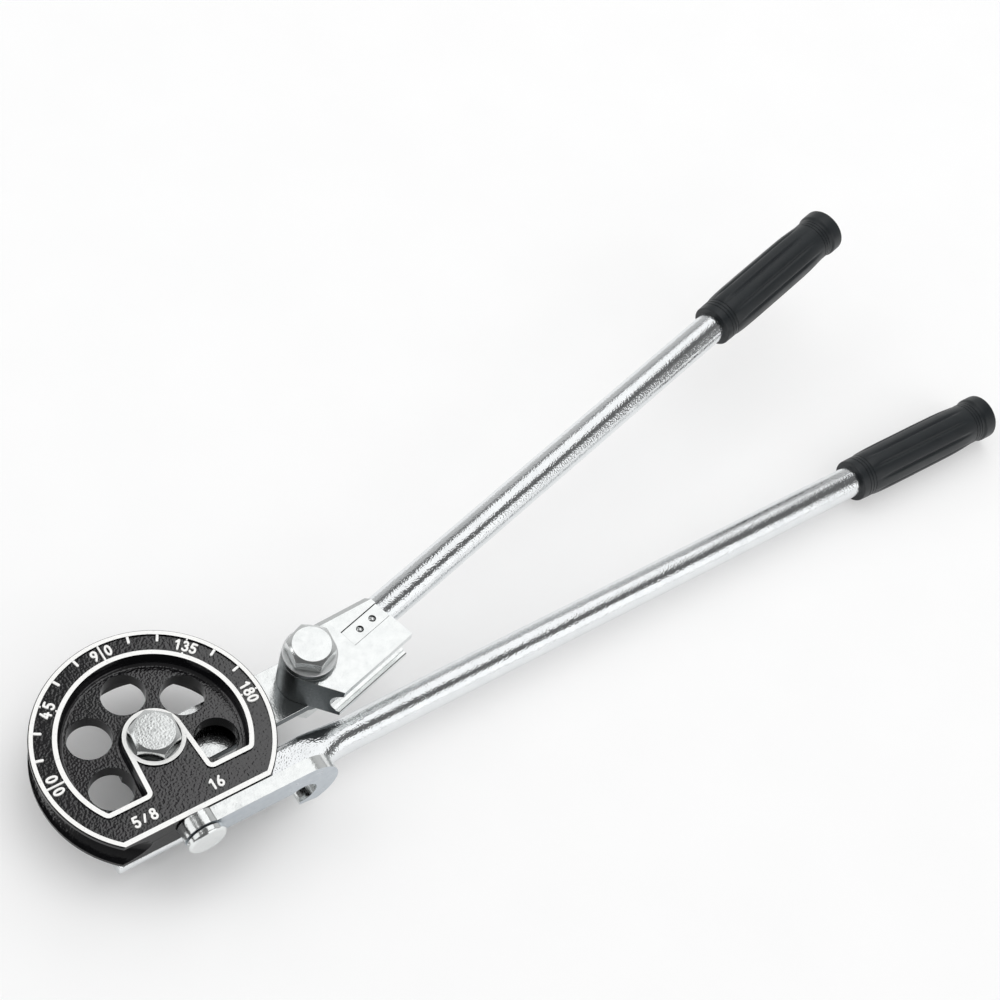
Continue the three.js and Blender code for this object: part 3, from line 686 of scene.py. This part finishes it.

# Zinc over a sheared or as-forged skin: the same plate, but dull and drawn grey, so sides stand out from tops:
# partly a real dull edge, partly painted shade.
dull_and_shaded_zinc, tree, place = new_material("dull_zinc_with_painted_shade_on_sides")
SCALE_SIZE = 1.2
SCALE_DEPTH = 0.04
scale = add_node(tree, "ShaderNodeTexNoise", {"Scale": per_metre(SCALE_SIZE), "Detail": 4, "Roughness": 0.65},
                 {"Vector": place})
skin = add_node(tree, "ShaderNodeBump", {"Strength": 1, "Distance": SCALE_DEPTH * MM},
                {"Height": scale.outputs["Fac"]})
mottled(tree, scale, (0.3, 0.7), (0.26, 0.42), ("#8f9496", "#6c7173"), {"Metallic": 1}, skin)

# Zinc on a punched washer: frosted and white, so its face reads as a pale ring round the head.
frosted_zinc, tree, place = new_material("frosted_zinc_on_washers")
FROST_SIZE = 0.8
frost = add_node(tree, "ShaderNodeTexNoise", {"Scale": per_metre(FROST_SIZE), "Detail": 2}, {"Vector": place})
shade = add_node(tree, "ShaderNodeMix", {6: linear("#fafbfb"), 7: linear("#eceeee")},
                 {0: frost.outputs["Fac"]}, data_type="RGBA")
shader = add_node(tree, "ShaderNodeBsdfPrincipled", {"Metallic": 1, "Roughness": 0.5},
                  {"Base Color": shade.outputs[2]})
add_node(tree, "ShaderNodeOutputMaterial", links={"Surface": shader.outputs[0]})

# Sintered bronze of the two bushes: a warm, half-matt brown with fine pores.
bronze, tree, place = new_material("sintered_bronze")
PORE_SIZE = 0.6
pores = add_node(tree, "ShaderNodeTexNoise", {"Scale": per_metre(PORE_SIZE), "Detail": 3}, {"Vector": place})
shade = add_node(tree, "ShaderNodeMix", {6: linear("#b8925c"), 7: linear("#8a6a3e")},
                 {0: pores.outputs["Fac"]}, data_type="RGBA")
shader = add_node(tree, "ShaderNodeBsdfPrincipled", {"Metallic": 1, "Roughness": 0.4},
                  {"Base Color": shade.outputs[2]})
add_node(tree, "ShaderNodeOutputMaterial", links={"Surface": shader.outputs[0]})


def hexagon(flats, bottom, top, turn, chamfer, both=False):
    """A hexagon with its corners turned off above, or above and below. A corner points at turn."""
    corner = flats / math.sqrt(3)
    bm = bmesh.new()
    middle = Matrix.Translation((0, 0, (bottom + top) / 2)) @ around(turn) @ around(90)
    bmesh.ops.create_cone(bm, cap_ends=True, segments=6, radius1=corner, radius2=corner,
                          depth=top - bottom, matrix=middle)
    flat_top = flats / 2 - chamfer
    far = corner + PAST
    drop = (far - flat_top) * math.tan(math.radians(HEX_CHAMFER_TURN))
    low = [(0, bottom - PAST), (far, bottom - PAST)]
    if both:
        low = [(0, bottom), (flat_top, bottom), (far, bottom + drop)]
    return combined(solid(bm), "INTERSECT", turned([*low, (far, top - drop), (flat_top, top), (0, top)]))


def threaded(radius, end, top, thread_to):
    """A bolt's shank from its end up, with the thread as rings where it shows."""
    points = [(0, end), (radius - BOLT_POINT, end), (radius, end + BOLT_POINT)]
    height = end + BOLT_POINT
    root = radius - THREAD_DEPTH
    while height + THREAD_PITCH < thread_to:
        middle = height + THREAD_PITCH / 2
        points += [(radius, height + THREAD_CREST), (root, middle - THREAD_ROOT),
                   (root, middle + THREAD_ROOT), (radius, height + THREAD_PITCH - THREAD_CREST)]
        height += THREAD_PITCH
    return turned([*points, (radius, top), (0, top)], sides=48)


def upright(centre, normal):
    return abs(normal.z) < 0.5


def washer(outer, inner, bottom, top):
    """A punched washer, its upper rim rolled in by the punch: bright faces, and a dull edge drawn grey as
    painted shade.
    """
    ring = turned([(inner, bottom), (outer, bottom), (outer, top - ROLLED_DOWN), (outer - ROLLED_IN, top),
                   (inner, top)], ring=True)
    return coated(ring, upright)


def bolt_head(bottom, top, turn):
    """A hexagon head that stands on its round bearing face, with a thin gap below its corners."""
    head = hexagon(HEX_FLATS, bottom + BEARING_FACE, top, turn, HEX_CHAMFER)
    return combined(head, "UNION", rod(HEX_FLATS / 2 - BEARING_INSET, bottom, bottom + 2 * BEARING_FACE))


def nut():
    """A hexagon nut with chamfered corners, plainly bored for the bolt."""
    blank = hexagon(HEX_FLATS, NUT_BOTTOM, NUT_TOP, NUT_HEX_TURN, HEX_CHAMFER, both=True)
    return cut(blank, rod(BOLT_RADIUS + NUT_FIT, -PAST, WHEEL_BOTTOM))


centre_head = bolt_head(CENTRE_HEAD_BOTTOM, CENTRE_HEAD_TOP, CENTRE_HEX_TURN)
cut(centre_head, rod(CENTRE_DOT_RADIUS, CENTRE_HEAD_TOP - CENTRE_DOT_DEPTH, THROUGH, sides=16))
shank = threaded(BOLT_RADIUS, 0, CENTRE_HEAD_BOTTOM + 2, NUT_TOP)
centre_bolt = combined(centre_head, "UNION", shank)
finished(centre_bolt, "centre_bolt_zinc", "former", [forged_zinc], ["centre_bolt"], edge=0.3)
finished(nut(), "centre_nut_zinc", "former", [forged_zinc], ["centre_nut"], edge=0.3)
finished(washer(WASHER_RADIUS, BORE_RADIUS, WASHER_BOTTOM, WASHER_TOP),
         "centre_washer_zinc", "former", [frosted_zinc, dull_and_shaded_zinc], ["centre_washer"], edge=0.15)


# Screws of the fixed handle. Two M8 hexagon screws with washers, which go up through the pressed part of
# the tube into the wheel and hold the handle to it.
SCREW_X = 22
SCREW_HEAD_TOP = 10.6
SCREW_HEAD_BOTTOM = 5.3
SCREW_FLATS = 13
SCREW_CHAMFER = 0.7
SCREW_RADIUS = 4
SCREW_LENGTH = 24.5
SCREW_WASHER_RADIUS = 8
SCREW_WASHER_BORE = 4.3
SCREW_WASHER_BOTTOM = 10.9
SCREW_WASHER_TOP = 12.5

# Plain steel with a thin zinc coat: greyer and duller than the bolts.
screw_steel, tree, place = new_material("zinc_on_screw_steel")
GRAIN_SIZE = 1.5
grain = add_node(tree, "ShaderNodeTexNoise", {"Scale": per_metre(GRAIN_SIZE), "Detail": 4}, {"Vector": place})
mottled(tree, grain, (0.3, 0.7), (0.26, 0.42), ("#c9cccd", "#aeb2b4"), {"Metallic": 1})

for name, side in (("rear", -1), ("front", 1)):
    head = hexagon(SCREW_FLATS, 0, SCREW_HEAD_TOP - SCREW_HEAD_BOTTOM, 0, SCREW_CHAMFER)
    head = combined(head, "UNION", rod(SCREW_RADIUS, -SCREW_LENGTH, 1, sides=32))
    place = Matrix.Translation((side * SCREW_X, BAR_Y, SCREW_HEAD_TOP)) @ Matrix.Rotation(math.pi, 4, "X")
    finished(moved(head, place), f"handle_screw_{name}_steel", "former", [screw_steel],
             [f"handle_screw_{name}"], edge=0.2)
    ring = washer(SCREW_WASHER_RADIUS, SCREW_WASHER_BORE, SCREW_WASHER_BOTTOM, SCREW_WASHER_TOP)
    finished(moved(ring, Matrix.Translation((side * SCREW_X, BAR_Y, 0))), f"handle_washer_{name}_steel",
             "former", [screw_steel, dull_and_shaded_zinc], [f"handle_washer_{name}"], edge=0.1)


# Swing link. A flat steel bar with round ends, sawn, tumbled and zinc plated, which carries the shoe
# bolt at its end and swings round the centre bolt under the wheel.
ARM = 86.5
LINK_TURN = 1.6
LINK_HALF = 14.1
BUSH_BORE = 9.3
link_place = around(LINK_TURN)
link = hull(*[rod(LINK_HALF, LINK_BOTTOM, LINK_TOP, at=(x, 0), sides=96) for x in (0, ARM)])
cut(link, rod(BUSH_BORE, 0, WHEEL_TOP), rod(BORE_RADIUS, 0, WHEEL_TOP, at=(ARM, 0)))
# The link's sawn sides take the grey zinc: a duller edge, drawn darker as painted shade.
finished(moved(coated(link, upright), link_place), "swing_link_zinc", "link",
         [forged_zinc, dull_and_shaded_zinc], ["swing_link"], edge=0.35)


# Slide block. A zinc plated steel forging that turns on the shoe bolt: a round boss that widens to a
# straight grooved mouth, with a shallow panel, two staking dimples and the socket of the handle.
BLOCK_TURN = 15
BLOCK_BOTTOM = 23.1
BLOCK_TOP = 46
BOSS_RADIUS = 14.1
MOUTH = 26.3
PANEL_DEPTH = 0.8
PANEL_START = 21
PANEL_NEAR = -1.3
PANEL_FAR = -11.4
STAKE_V = -6.3
STAKES = (30, 39)
STAKE_HOLE = 1.95
STAKE_SINK = 1.5
TUBE_AXIS = -29
LINE = 0.45
NEAR_LINE = 0.35
LINE_DEPTH = 0.5
REAR_BEVEL = (2.6, 1.5)
LIP_FLAT = 26.4
LIP_DEPTH = 2.2
BLOCK_CORNERS = [(45.1, 4.6), (46.5, 2), (47, -MOUTH), (-2.1, -MOUTH)]
BLOCK_EDGE = 0.35
BEYOND = 60
TINY = 0.01
HANDLE_ROOT = (42.28, -2.94, 34.5)
HANDLE_SLOPE = 5
HANDLE_YAW = -1.66
SOCKET_FIT = 0.3
SOCKET_DEPTH = 40
posts = [brick((u - TINY, v - TINY, BLOCK_BOTTOM), (u + TINY, v + TINY, BLOCK_TOP)) for u, v in BLOCK_CORNERS]
block = hull(rod(BOSS_RADIUS, BLOCK_BOTTOM, BLOCK_TOP, sides=96), *posts)
shoe_place = Matrix.Translation((*on_circle(ARM, LINK_TURN), 0)) @ around(BLOCK_TURN)
handle_place = (Matrix.Translation(HANDLE_ROOT) @ around(HANDLE_YAW)
                @ Matrix.Rotation(math.radians(-HANDLE_SLOPE), 4, "Y"))
tube_groove = moved(rod(GROOVE_RADIUS, -BEYOND, THROUGH, sides=96),
                    Matrix.Translation((0, TUBE_AXIS, GROOVE_HEIGHT)) @ along_x)
socket = moved(rod(TUBE_RADIUS + SOCKET_FIT, 0, SOCKET_DEPTH), handle_place @ along_x)
panel = BLOCK_TOP - PANEL_DEPTH
over = BLOCK_TOP + PAST

# The rear wall touches the boss and runs to the block's rear corner; its top edge is cut back.
corner_u, corner_v = BLOCK_CORNERS[0]
rear_turn = math.atan2(corner_v, corner_u) + math.acos(BOSS_RADIUS / math.hypot(corner_u, corner_v))
rear = Vector((math.cos(rear_turn), math.sin(rear_turn), 0))
block = trimmed(block, rear * (BOSS_RADIUS - REAR_BEVEL[0]) + Vector((0, 0, BLOCK_TOP)),
                rear * REAR_BEVEL[1] + Vector((0, 0, REAR_BEVEL[0])))
cut(
    block,
    tube_groove,
    brick((-PAST, -MOUTH - PAST, LIP_FLAT), (BEYOND, -MOUTH + LIP_DEPTH, GROOVE_HEIGHT)),
    rod(BUSH_BORE, 0, THROUGH),
    brick((PANEL_START, PANEL_FAR, panel), (BEYOND, PANEL_NEAR, over)),
    socket,
    *[rod(STAKE_HOLE, panel - STAKE_SINK, over, at=(u, STAKE_V), sides=32) for u in STAKES],
)
eased(block, BLOCK_EDGE)
cut(
    block,
    brick((PANEL_START, PANEL_FAR, panel - LINE_DEPTH), (BEYOND, PANEL_FAR + LINE, over)),
    brick((PANEL_START, PANEL_FAR, panel - LINE_DEPTH), (PANEL_START + LINE, PANEL_NEAR, over)),
    brick((PANEL_START, PANEL_NEAR - NEAR_LINE, panel - LINE_DEPTH), (BEYOND, PANEL_NEAR, over)),
)
# Painted shade: the block's sides, picked by the way they face, take the grey zinc.
coated(block, lambda centre, normal: abs(normal.z) < 0.8 and (abs(normal.x) > 0.3 or normal.y > 0.3))
# Painted shade with real grease: the faces at the foot of the panel's lines take the dark paste.
for face in block.data.polygons:
    u, v, height = face.center
    in_panel = u > PANEL_START - TINY and PANEL_FAR - TINY < v < PANEL_NEAR + TINY
    in_line = (u < PANEL_START + LINE + TINY or v < PANEL_FAR + LINE + TINY
               or v > PANEL_NEAR - NEAR_LINE - TINY)
    if in_panel and in_line and panel - LINE_DEPTH - HAIR < height < panel - 2 * TINY:
        face.material_index = 2

# The panel's lines are filled with a dull, nearly black paste: partly old grease and grit, partly painted
# shade along the panel's step.
grease_and_painted_shade, tree, place = new_material("grease_and_painted_shade_in_the_lines")
GRIT_SIZE = 0.7
grit = add_node(tree, "ShaderNodeTexNoise", {"Scale": per_metre(GRIT_SIZE), "Detail": 2}, {"Vector": place})
shade = add_node(tree, "ShaderNodeMix", {6: linear("#232425"), 7: linear("#3c3d3f")},
                 {0: grit.outputs["Fac"]}, data_type="RGBA")
shader = add_node(tree, "ShaderNodeBsdfPrincipled", {"Roughness": 0.7}, {"Base Color": shade.outputs[2]})
add_node(tree, "ShaderNodeOutputMaterial", links={"Surface": shader.outputs[0]})
finished(moved(block, shoe_place), "slide_block_forging", "shoe_handle",
         [forged_zinc, dull_and_shaded_zinc, grease_and_painted_shade], ["slide_block"], edge=0)


# Shoe bolt. The same bolt, nut and washers at the link's end: the block turns on a bronze bush that is
# clamped between the link and the washer under the head.
SHOE_BOLT_END = 1
SHOE_WASHER_BOTTOM = 46.3
SHOE_WASHER_TOP = 50
SHOE_HEAD_BOTTOM = 50
SHOE_HEAD_TOP = 57.9
SHOE_HEX_TURN = 21.2
stack_place = link_place @ Matrix.Translation((ARM, 0, 0))
shoe_head = bolt_head(SHOE_HEAD_BOTTOM, SHOE_HEAD_TOP, SHOE_HEX_TURN)
shank = threaded(BOLT_RADIUS, SHOE_BOLT_END, SHOE_HEAD_BOTTOM + 2, NUT_TOP)
finished(moved(combined(shoe_head, "UNION", shank), stack_place), "shoe_bolt_zinc", "link",
         [forged_zinc], ["shoe_bolt"], edge=0.3)
for name, bottom, top, node in (("upper", SHOE_WASHER_BOTTOM, SHOE_WASHER_TOP, "shoe_head_washer"),
                                ("lower", WASHER_BOTTOM, WASHER_TOP, "shoe_nut_washer")):
    ring = washer(WASHER_RADIUS, BORE_RADIUS, bottom, top)
    finished(moved(ring, stack_place), f"shoe_washer_{name}_zinc", "link",
             [frosted_zinc, dull_and_shaded_zinc], [node], edge=0.15)
finished(moved(nut(), stack_place), "shoe_nut_zinc", "link", [forged_zinc], ["shoe_nut"], edge=0.3)
for node in ("centre_bush", "shoe_bush"):
    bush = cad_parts[node]
    for slot in bush.material_slots:
        slot.material = bronze


# Moving handle. The same tube with its end swaged down, pushed into the block and staked there, with
# the second grip. It leaves the block five degrees upwards.
MOVING_TUBE_END = 371.8
SWAGE_RADIUS = 7.5
SWAGE_LENGTH = 20
SHOULDER = 0.3
MOVING_GRIP_START = 275.1
handle_axis = shoe_place @ handle_place @ along_x
tube = turned([
    (0, -SWAGE_LENGTH), (SWAGE_RADIUS, -SWAGE_LENGTH), (SWAGE_RADIUS, SHOULDER), (TUBE_RADIUS, SHOULDER),
    (TUBE_RADIUS, MOVING_TUBE_END), (0, MOVING_TUBE_END),
], sides=TUBE_SIDES)
finished(moved(tube, handle_axis), "moving_tube", "shoe_handle", [tube_zinc],
         ["moving_handle_tube"], edge=0.4)
moving_grip = moved(grip(MOVING_FLUTE_TURN), handle_axis @ Matrix.Translation((0, 0, MOVING_GRIP_START)))
finished(moving_grip, "moving_handle_grip", "shoe_handle", [grip_rubber],
         ["moving_grip"], edge=0)

# The stakes' outline, as radius and height: a straight pin with a domed top in each dimple.
for name, u in zip(("inner", "outer"), STAKES):
    pin = turned([(0, 26.4), (1.85, 26.4), (1.85, 44), (1.45, 44.7), (0.9, 45), (0, 45.1)], sides=32)
    finished(moved(pin, shoe_place @ Matrix.Translation((u, STAKE_V, 0))), f"block_stake_{name}_pin",
             "shoe_handle", [forged_zinc], [f"block_stake_{name}"], edge=0)


# Tube latch. A flat steel hook that holds the tube against the wheel: an eye round its pin, a bar and
# a hooked jaw. It is cut from plate, linished and dull zinc plated.
LATCH_INNER = 44
LATCH_OUTER = 51.4
EYE_RADIUS = 10
BAR_HALF = 7.7
NOTCH = (54.5, -14)
NOTCH_RADIUS = 8.3
HOOK = (56, -10.8)
HOOK_RADIUS = 18.5
HOOK_END = (55, -25, 0)
HOOK_END_FACING = (-0.2117, -0.9773, 0)
THROAT_FROM = 20
LATCH_BORE = 5.3
to_latch = Matrix.Translation((LATCH_PIN_X, 0, LATCH_PIN_HEIGHT)) @ Matrix.Rotation(math.pi / 2, 4, "X")
latch = combined(
    rod(EYE_RADIUS, LATCH_INNER, LATCH_OUTER, sides=96),
    "UNION",
    brick((0, -BAR_HALF, LATCH_INNER), (HOOK[0], BAR_HALF, LATCH_OUTER)),
    rod(HOOK_RADIUS, LATCH_INNER, LATCH_OUTER, at=HOOK, sides=128),
)
latch = trimmed(latch, HOOK_END, HOOK_END_FACING)
cut(
    latch,
    brick((THROAT_FROM, -BEYOND, 0), (NOTCH[0], -BAR_HALF, THROUGH)),
    rod(NOTCH_RADIUS, 0, THROUGH, at=NOTCH, sides=96),
    rod(LATCH_BORE, 0, THROUGH),
)

# Zinc on rolled plate: satin and slightly blue on the broad faces, drawn darker there than the brighter cut
# edges, partly the plate's own finish and partly painted shade.
plate_zinc_with_painted_shade, tree, place = new_material("satin_zinc_on_plate_with_painted_shade")
ROLLING_LINE = 0.9
ROLLING_STRETCH = (1, 0.12, 1)
ROLLING_DEPTH = 0.05
MOTTLE_SIZE = 4
stretch = add_node(tree, "ShaderNodeMapping", {"Scale": ROLLING_STRETCH}, {"Vector": place})
lines = add_node(tree, "ShaderNodeTexNoise", {"Scale": per_metre(ROLLING_LINE), "Detail": 3},
                 {"Vector": stretch.outputs[0]})
mottle = add_node(tree, "ShaderNodeTexNoise", {"Scale": per_metre(MOTTLE_SIZE), "Detail": 4}, {"Vector": place})
skin = add_node(tree, "ShaderNodeBump", {"Strength": 1, "Distance": ROLLING_DEPTH * MM},
                {"Height": lines.outputs["Fac"]})
mottled(tree, mottle, (0.3, 0.7), (0.26, 0.4), ("#cbd1d6", "#bcc3ca"), {"Metallic": 1}, skin)
# The cut edges take the bright forged zinc; the broad faces keep the darker plate zinc, a painted shade on
# them.
coated(latch, upright)
finished(moved(latch, to_latch), "latch_hook_plate", "latch", [plate_zinc_with_painted_shade, forged_zinc],
         ["tube_latch"], edge=0.5, steps=3)


# Latch pin. A turned shoulder pin with a broad round head, screwed into the wheel's flat side. A thin
# spring washer under the head keeps the latch where it is put.
PIN_SINK = 12
PIN_RADIUS = 5
PIN_HEAD_RADIUS = 10
PIN_HEAD_UNDER = 52.7
SPRING_RADIUS = 8
SPRING_INNER = 51.7
SPRING_OUTER = 52.4
pin = turned([
    (0, CHORD - PIN_SINK), (PIN_RADIUS, CHORD - PIN_SINK), (PIN_RADIUS, PIN_HEAD_UNDER),
    (PIN_HEAD_RADIUS, PIN_HEAD_UNDER), (PIN_HEAD_RADIUS, 55.1), (9.7, 55.6), (9, 56.1), (0, 56.1),
])
finished(moved(pin, to_latch), "latch_pin_zinc", "latch", [forged_zinc], ["latch_pin"], edge=0.15)
ring = turned([(LATCH_BORE, SPRING_INNER), (SPRING_RADIUS, SPRING_INNER), (SPRING_RADIUS, SPRING_OUTER),
               (LATCH_BORE, SPRING_OUTER)], ring=True, sides=64)
finished(moved(ring, to_latch), "latch_spring_ring", "latch", [screw_steel],
         ["latch_spring_washer"], edge=0.1)


# Floor, lights and camera. The floor is white paper that glows partly its own white, as if overexposed, to the
# camera and in the metal, which softens the tool's shadow. The glow fades out towards the wheel, so under the
# wheel the shadow stays whole: a painted light round the tool, kept off the ground under the wheel.
PAPER_GLOW = 0.4
GLOW_FROM = 0.055
GLOW_FULL = 0.085
FIBRE_SIZE = 60
paper, tree, place = new_material("white_paper")
fibre = add_node(tree, "ShaderNodeTexNoise", {"Scale": per_metre(FIBRE_SIZE), "Detail": 2}, {"Vector": place})
shade = add_node(tree, "ShaderNodeMix", {6: linear("#f9f9f9"), 7: linear("#f6f6f6")},
                 {0: fibre.outputs["Fac"]}, data_type="RGBA")
shader = add_node(tree, "ShaderNodeBsdfPrincipled", {"Roughness": 0.9, "Specular IOR Level": 0.1},
                  {"Base Color": shade.outputs[2]})
sight = add_node(tree, "ShaderNodeLightPath").outputs
seen = add_node(tree, "ShaderNodeMath", links={0: sight["Is Camera Ray"], 1: sight["Is Glossy Ray"]},
                operation="MAXIMUM")
seen = add_node(tree, "ShaderNodeMath", links={0: seen.outputs[0], 1: sight["Is Transmission Ray"]},
                operation="MAXIMUM")
# Painted light: the glow grows from nothing at 55 mm from the wheel's axis to its full share at 85 mm.
away = add_node(tree, "ShaderNodeVectorMath", links={0: place}, operation="LENGTH")
clear = add_node(tree, "ShaderNodeMapRange",
                 {"From Min": GLOW_FROM, "From Max": GLOW_FULL, "To Max": PAPER_GLOW},
                 {"Value": away.outputs["Value"]}, interpolation_type="SMOOTHSTEP")
share = add_node(tree, "ShaderNodeMath", links={0: seen.outputs[0], 1: clear.outputs[0]}, operation="MULTIPLY")
glow = add_node(tree, "ShaderNodeEmission", {"Strength": 1}, {"Color": shade.outputs[2]})
sheet = add_node(tree, "ShaderNodeMixShader",
                 links={0: share.outputs[0], 1: shader.outputs[0], 2: glow.outputs[0]})
add_node(tree, "ShaderNodeOutputMaterial", links={"Surface": sheet.outputs[0]})
bm = bmesh.new()
bmesh.ops.create_grid(bm, x_segments=1, y_segments=1, size=6, matrix=Matrix.Translation((0.2, 0, -0.0002)))
floor_mesh = bpy.data.meshes.new("floor")
bm.to_mesh(floor_mesh)
bm.free()
floor = bpy.data.objects.new("floor", floor_mesh)
bpy.context.scene.collection.objects.link(floor)
floor_mesh.materials.append(paper)

# The room that the metal mirrors: dim all round, but paler low down on one side, behind the wheel.
WALL_TURN = 50
world = bpy.data.worlds.new("studio")
bpy.context.scene.world = world
world.use_nodes = True
tree = world.node_tree
tree.nodes.clear()
aim = add_node(tree, "ShaderNodeTexCoord").outputs["Generated"]
behind = add_node(tree, "ShaderNodeVectorMath", {1: (*on_circle(1, WALL_TURN), 0)}, {0: aim},
                  operation="DOT_PRODUCT")
wall = add_node(tree, "ShaderNodeMapRange", {"From Min": -0.2, "From Max": 0.6},
                {"Value": behind.outputs["Value"]}, interpolation_type="SMOOTHSTEP")
height = add_node(tree, "ShaderNodeSeparateXYZ", links={0: aim}).outputs["Z"]
low = add_node(tree, "ShaderNodeMapRange", {"From Min": 0.4, "From Max": 0.75, "To Min": 1, "To Max": 0},
               {"Value": height}, interpolation_type="SMOOTHSTEP")
both = add_node(tree, "ShaderNodeMath", links={0: wall.outputs[0], 1: low.outputs[0]}, operation="MULTIPLY")
level = add_node(tree, "ShaderNodeMapRange", {"To Min": 0.13, "To Max": 0.55}, {"Value": both.outputs[0]})
sky = add_node(tree, "ShaderNodeBackground", {"Color": (1, 1, 1, 1)}, {"Strength": level.outputs[0]})
add_node(tree, "ShaderNodeOutputWorld", links={"Surface": sky.outputs[0]})

# Softboxes, with their sizes and places in metres. The lamps face the wheel's top.
AIM = Vector((0, 0, 0.044))


def softbox(name, spot, width, height, radiance, turn=None):
    """A lamp that faces the tool, or straight down when its turn is given."""
    lamp = bpy.data.lights.new(name, "AREA")
    lamp.shape = "RECTANGLE"
    lamp.size = width
    lamp.size_y = height
    lamp.energy = radiance * math.pi * width * height
    holder = bpy.data.objects.new(name, lamp)
    bpy.context.scene.collection.objects.link(holder)
    holder.location = spot
    if turn is None:
        holder.rotation_euler = (holder.location - AIM).to_track_quat("Z", "Y").to_euler()
    else:
        holder.rotation_euler = (0, 0, math.radians(turn))
    return holder


softbox("top_softbox", (0.925, 0.567, 1.444), 1.68, 0.98, 1.0, turn=56.8)
softbox("side_softbox", (1.008, -1.819, 0.76), 1.6, 1.45, 1.06)
softbox("left_softbox", (-0.68, 1.17, 1.78), 1.0, 0.8, 1.1)
softbox("low_left_softbox", (-1.5, 0.87, 1.0), 1.4, 1.2, 0.9)
fill = softbox("overhead_fill", (0.2, 0, 4), 16, 16, 0.76, turn=0)
fill.visible_glossy = False

# The camera stands where the photo's outlines of the wheel, bolts and handles fit best.
CAMERA_SPOT = Vector((-0.24271, -0.36457, 0.89050))
CAMERA_RIGHT = Vector((0.812953, -0.551125, 0.188061))
CAMERA_DOWN = Vector((-0.373338, -0.741113, -0.558006))
CAMERA_AHEAD = Vector((0.446905, 0.383423, -0.808247))
SENSOR = 36
LENS = 71.31
camera = bpy.data.cameras.new("camera")
camera.sensor_width = SENSOR
camera.lens = LENS
camera.clip_start = 0.05
camera.clip_end = 30
view = bpy.data.objects.new("camera", camera)
bpy.context.scene.collection.objects.link(view)
axes = Matrix((CAMERA_RIGHT, -CAMERA_DOWN, -CAMERA_AHEAD)).transposed()
view.matrix_world = Matrix.Translation(CAMERA_SPOT) @ axes.to_4x4()
bpy.context.scene.camera = view
bpy.context.scene.view_settings.view_transform = "Standard"
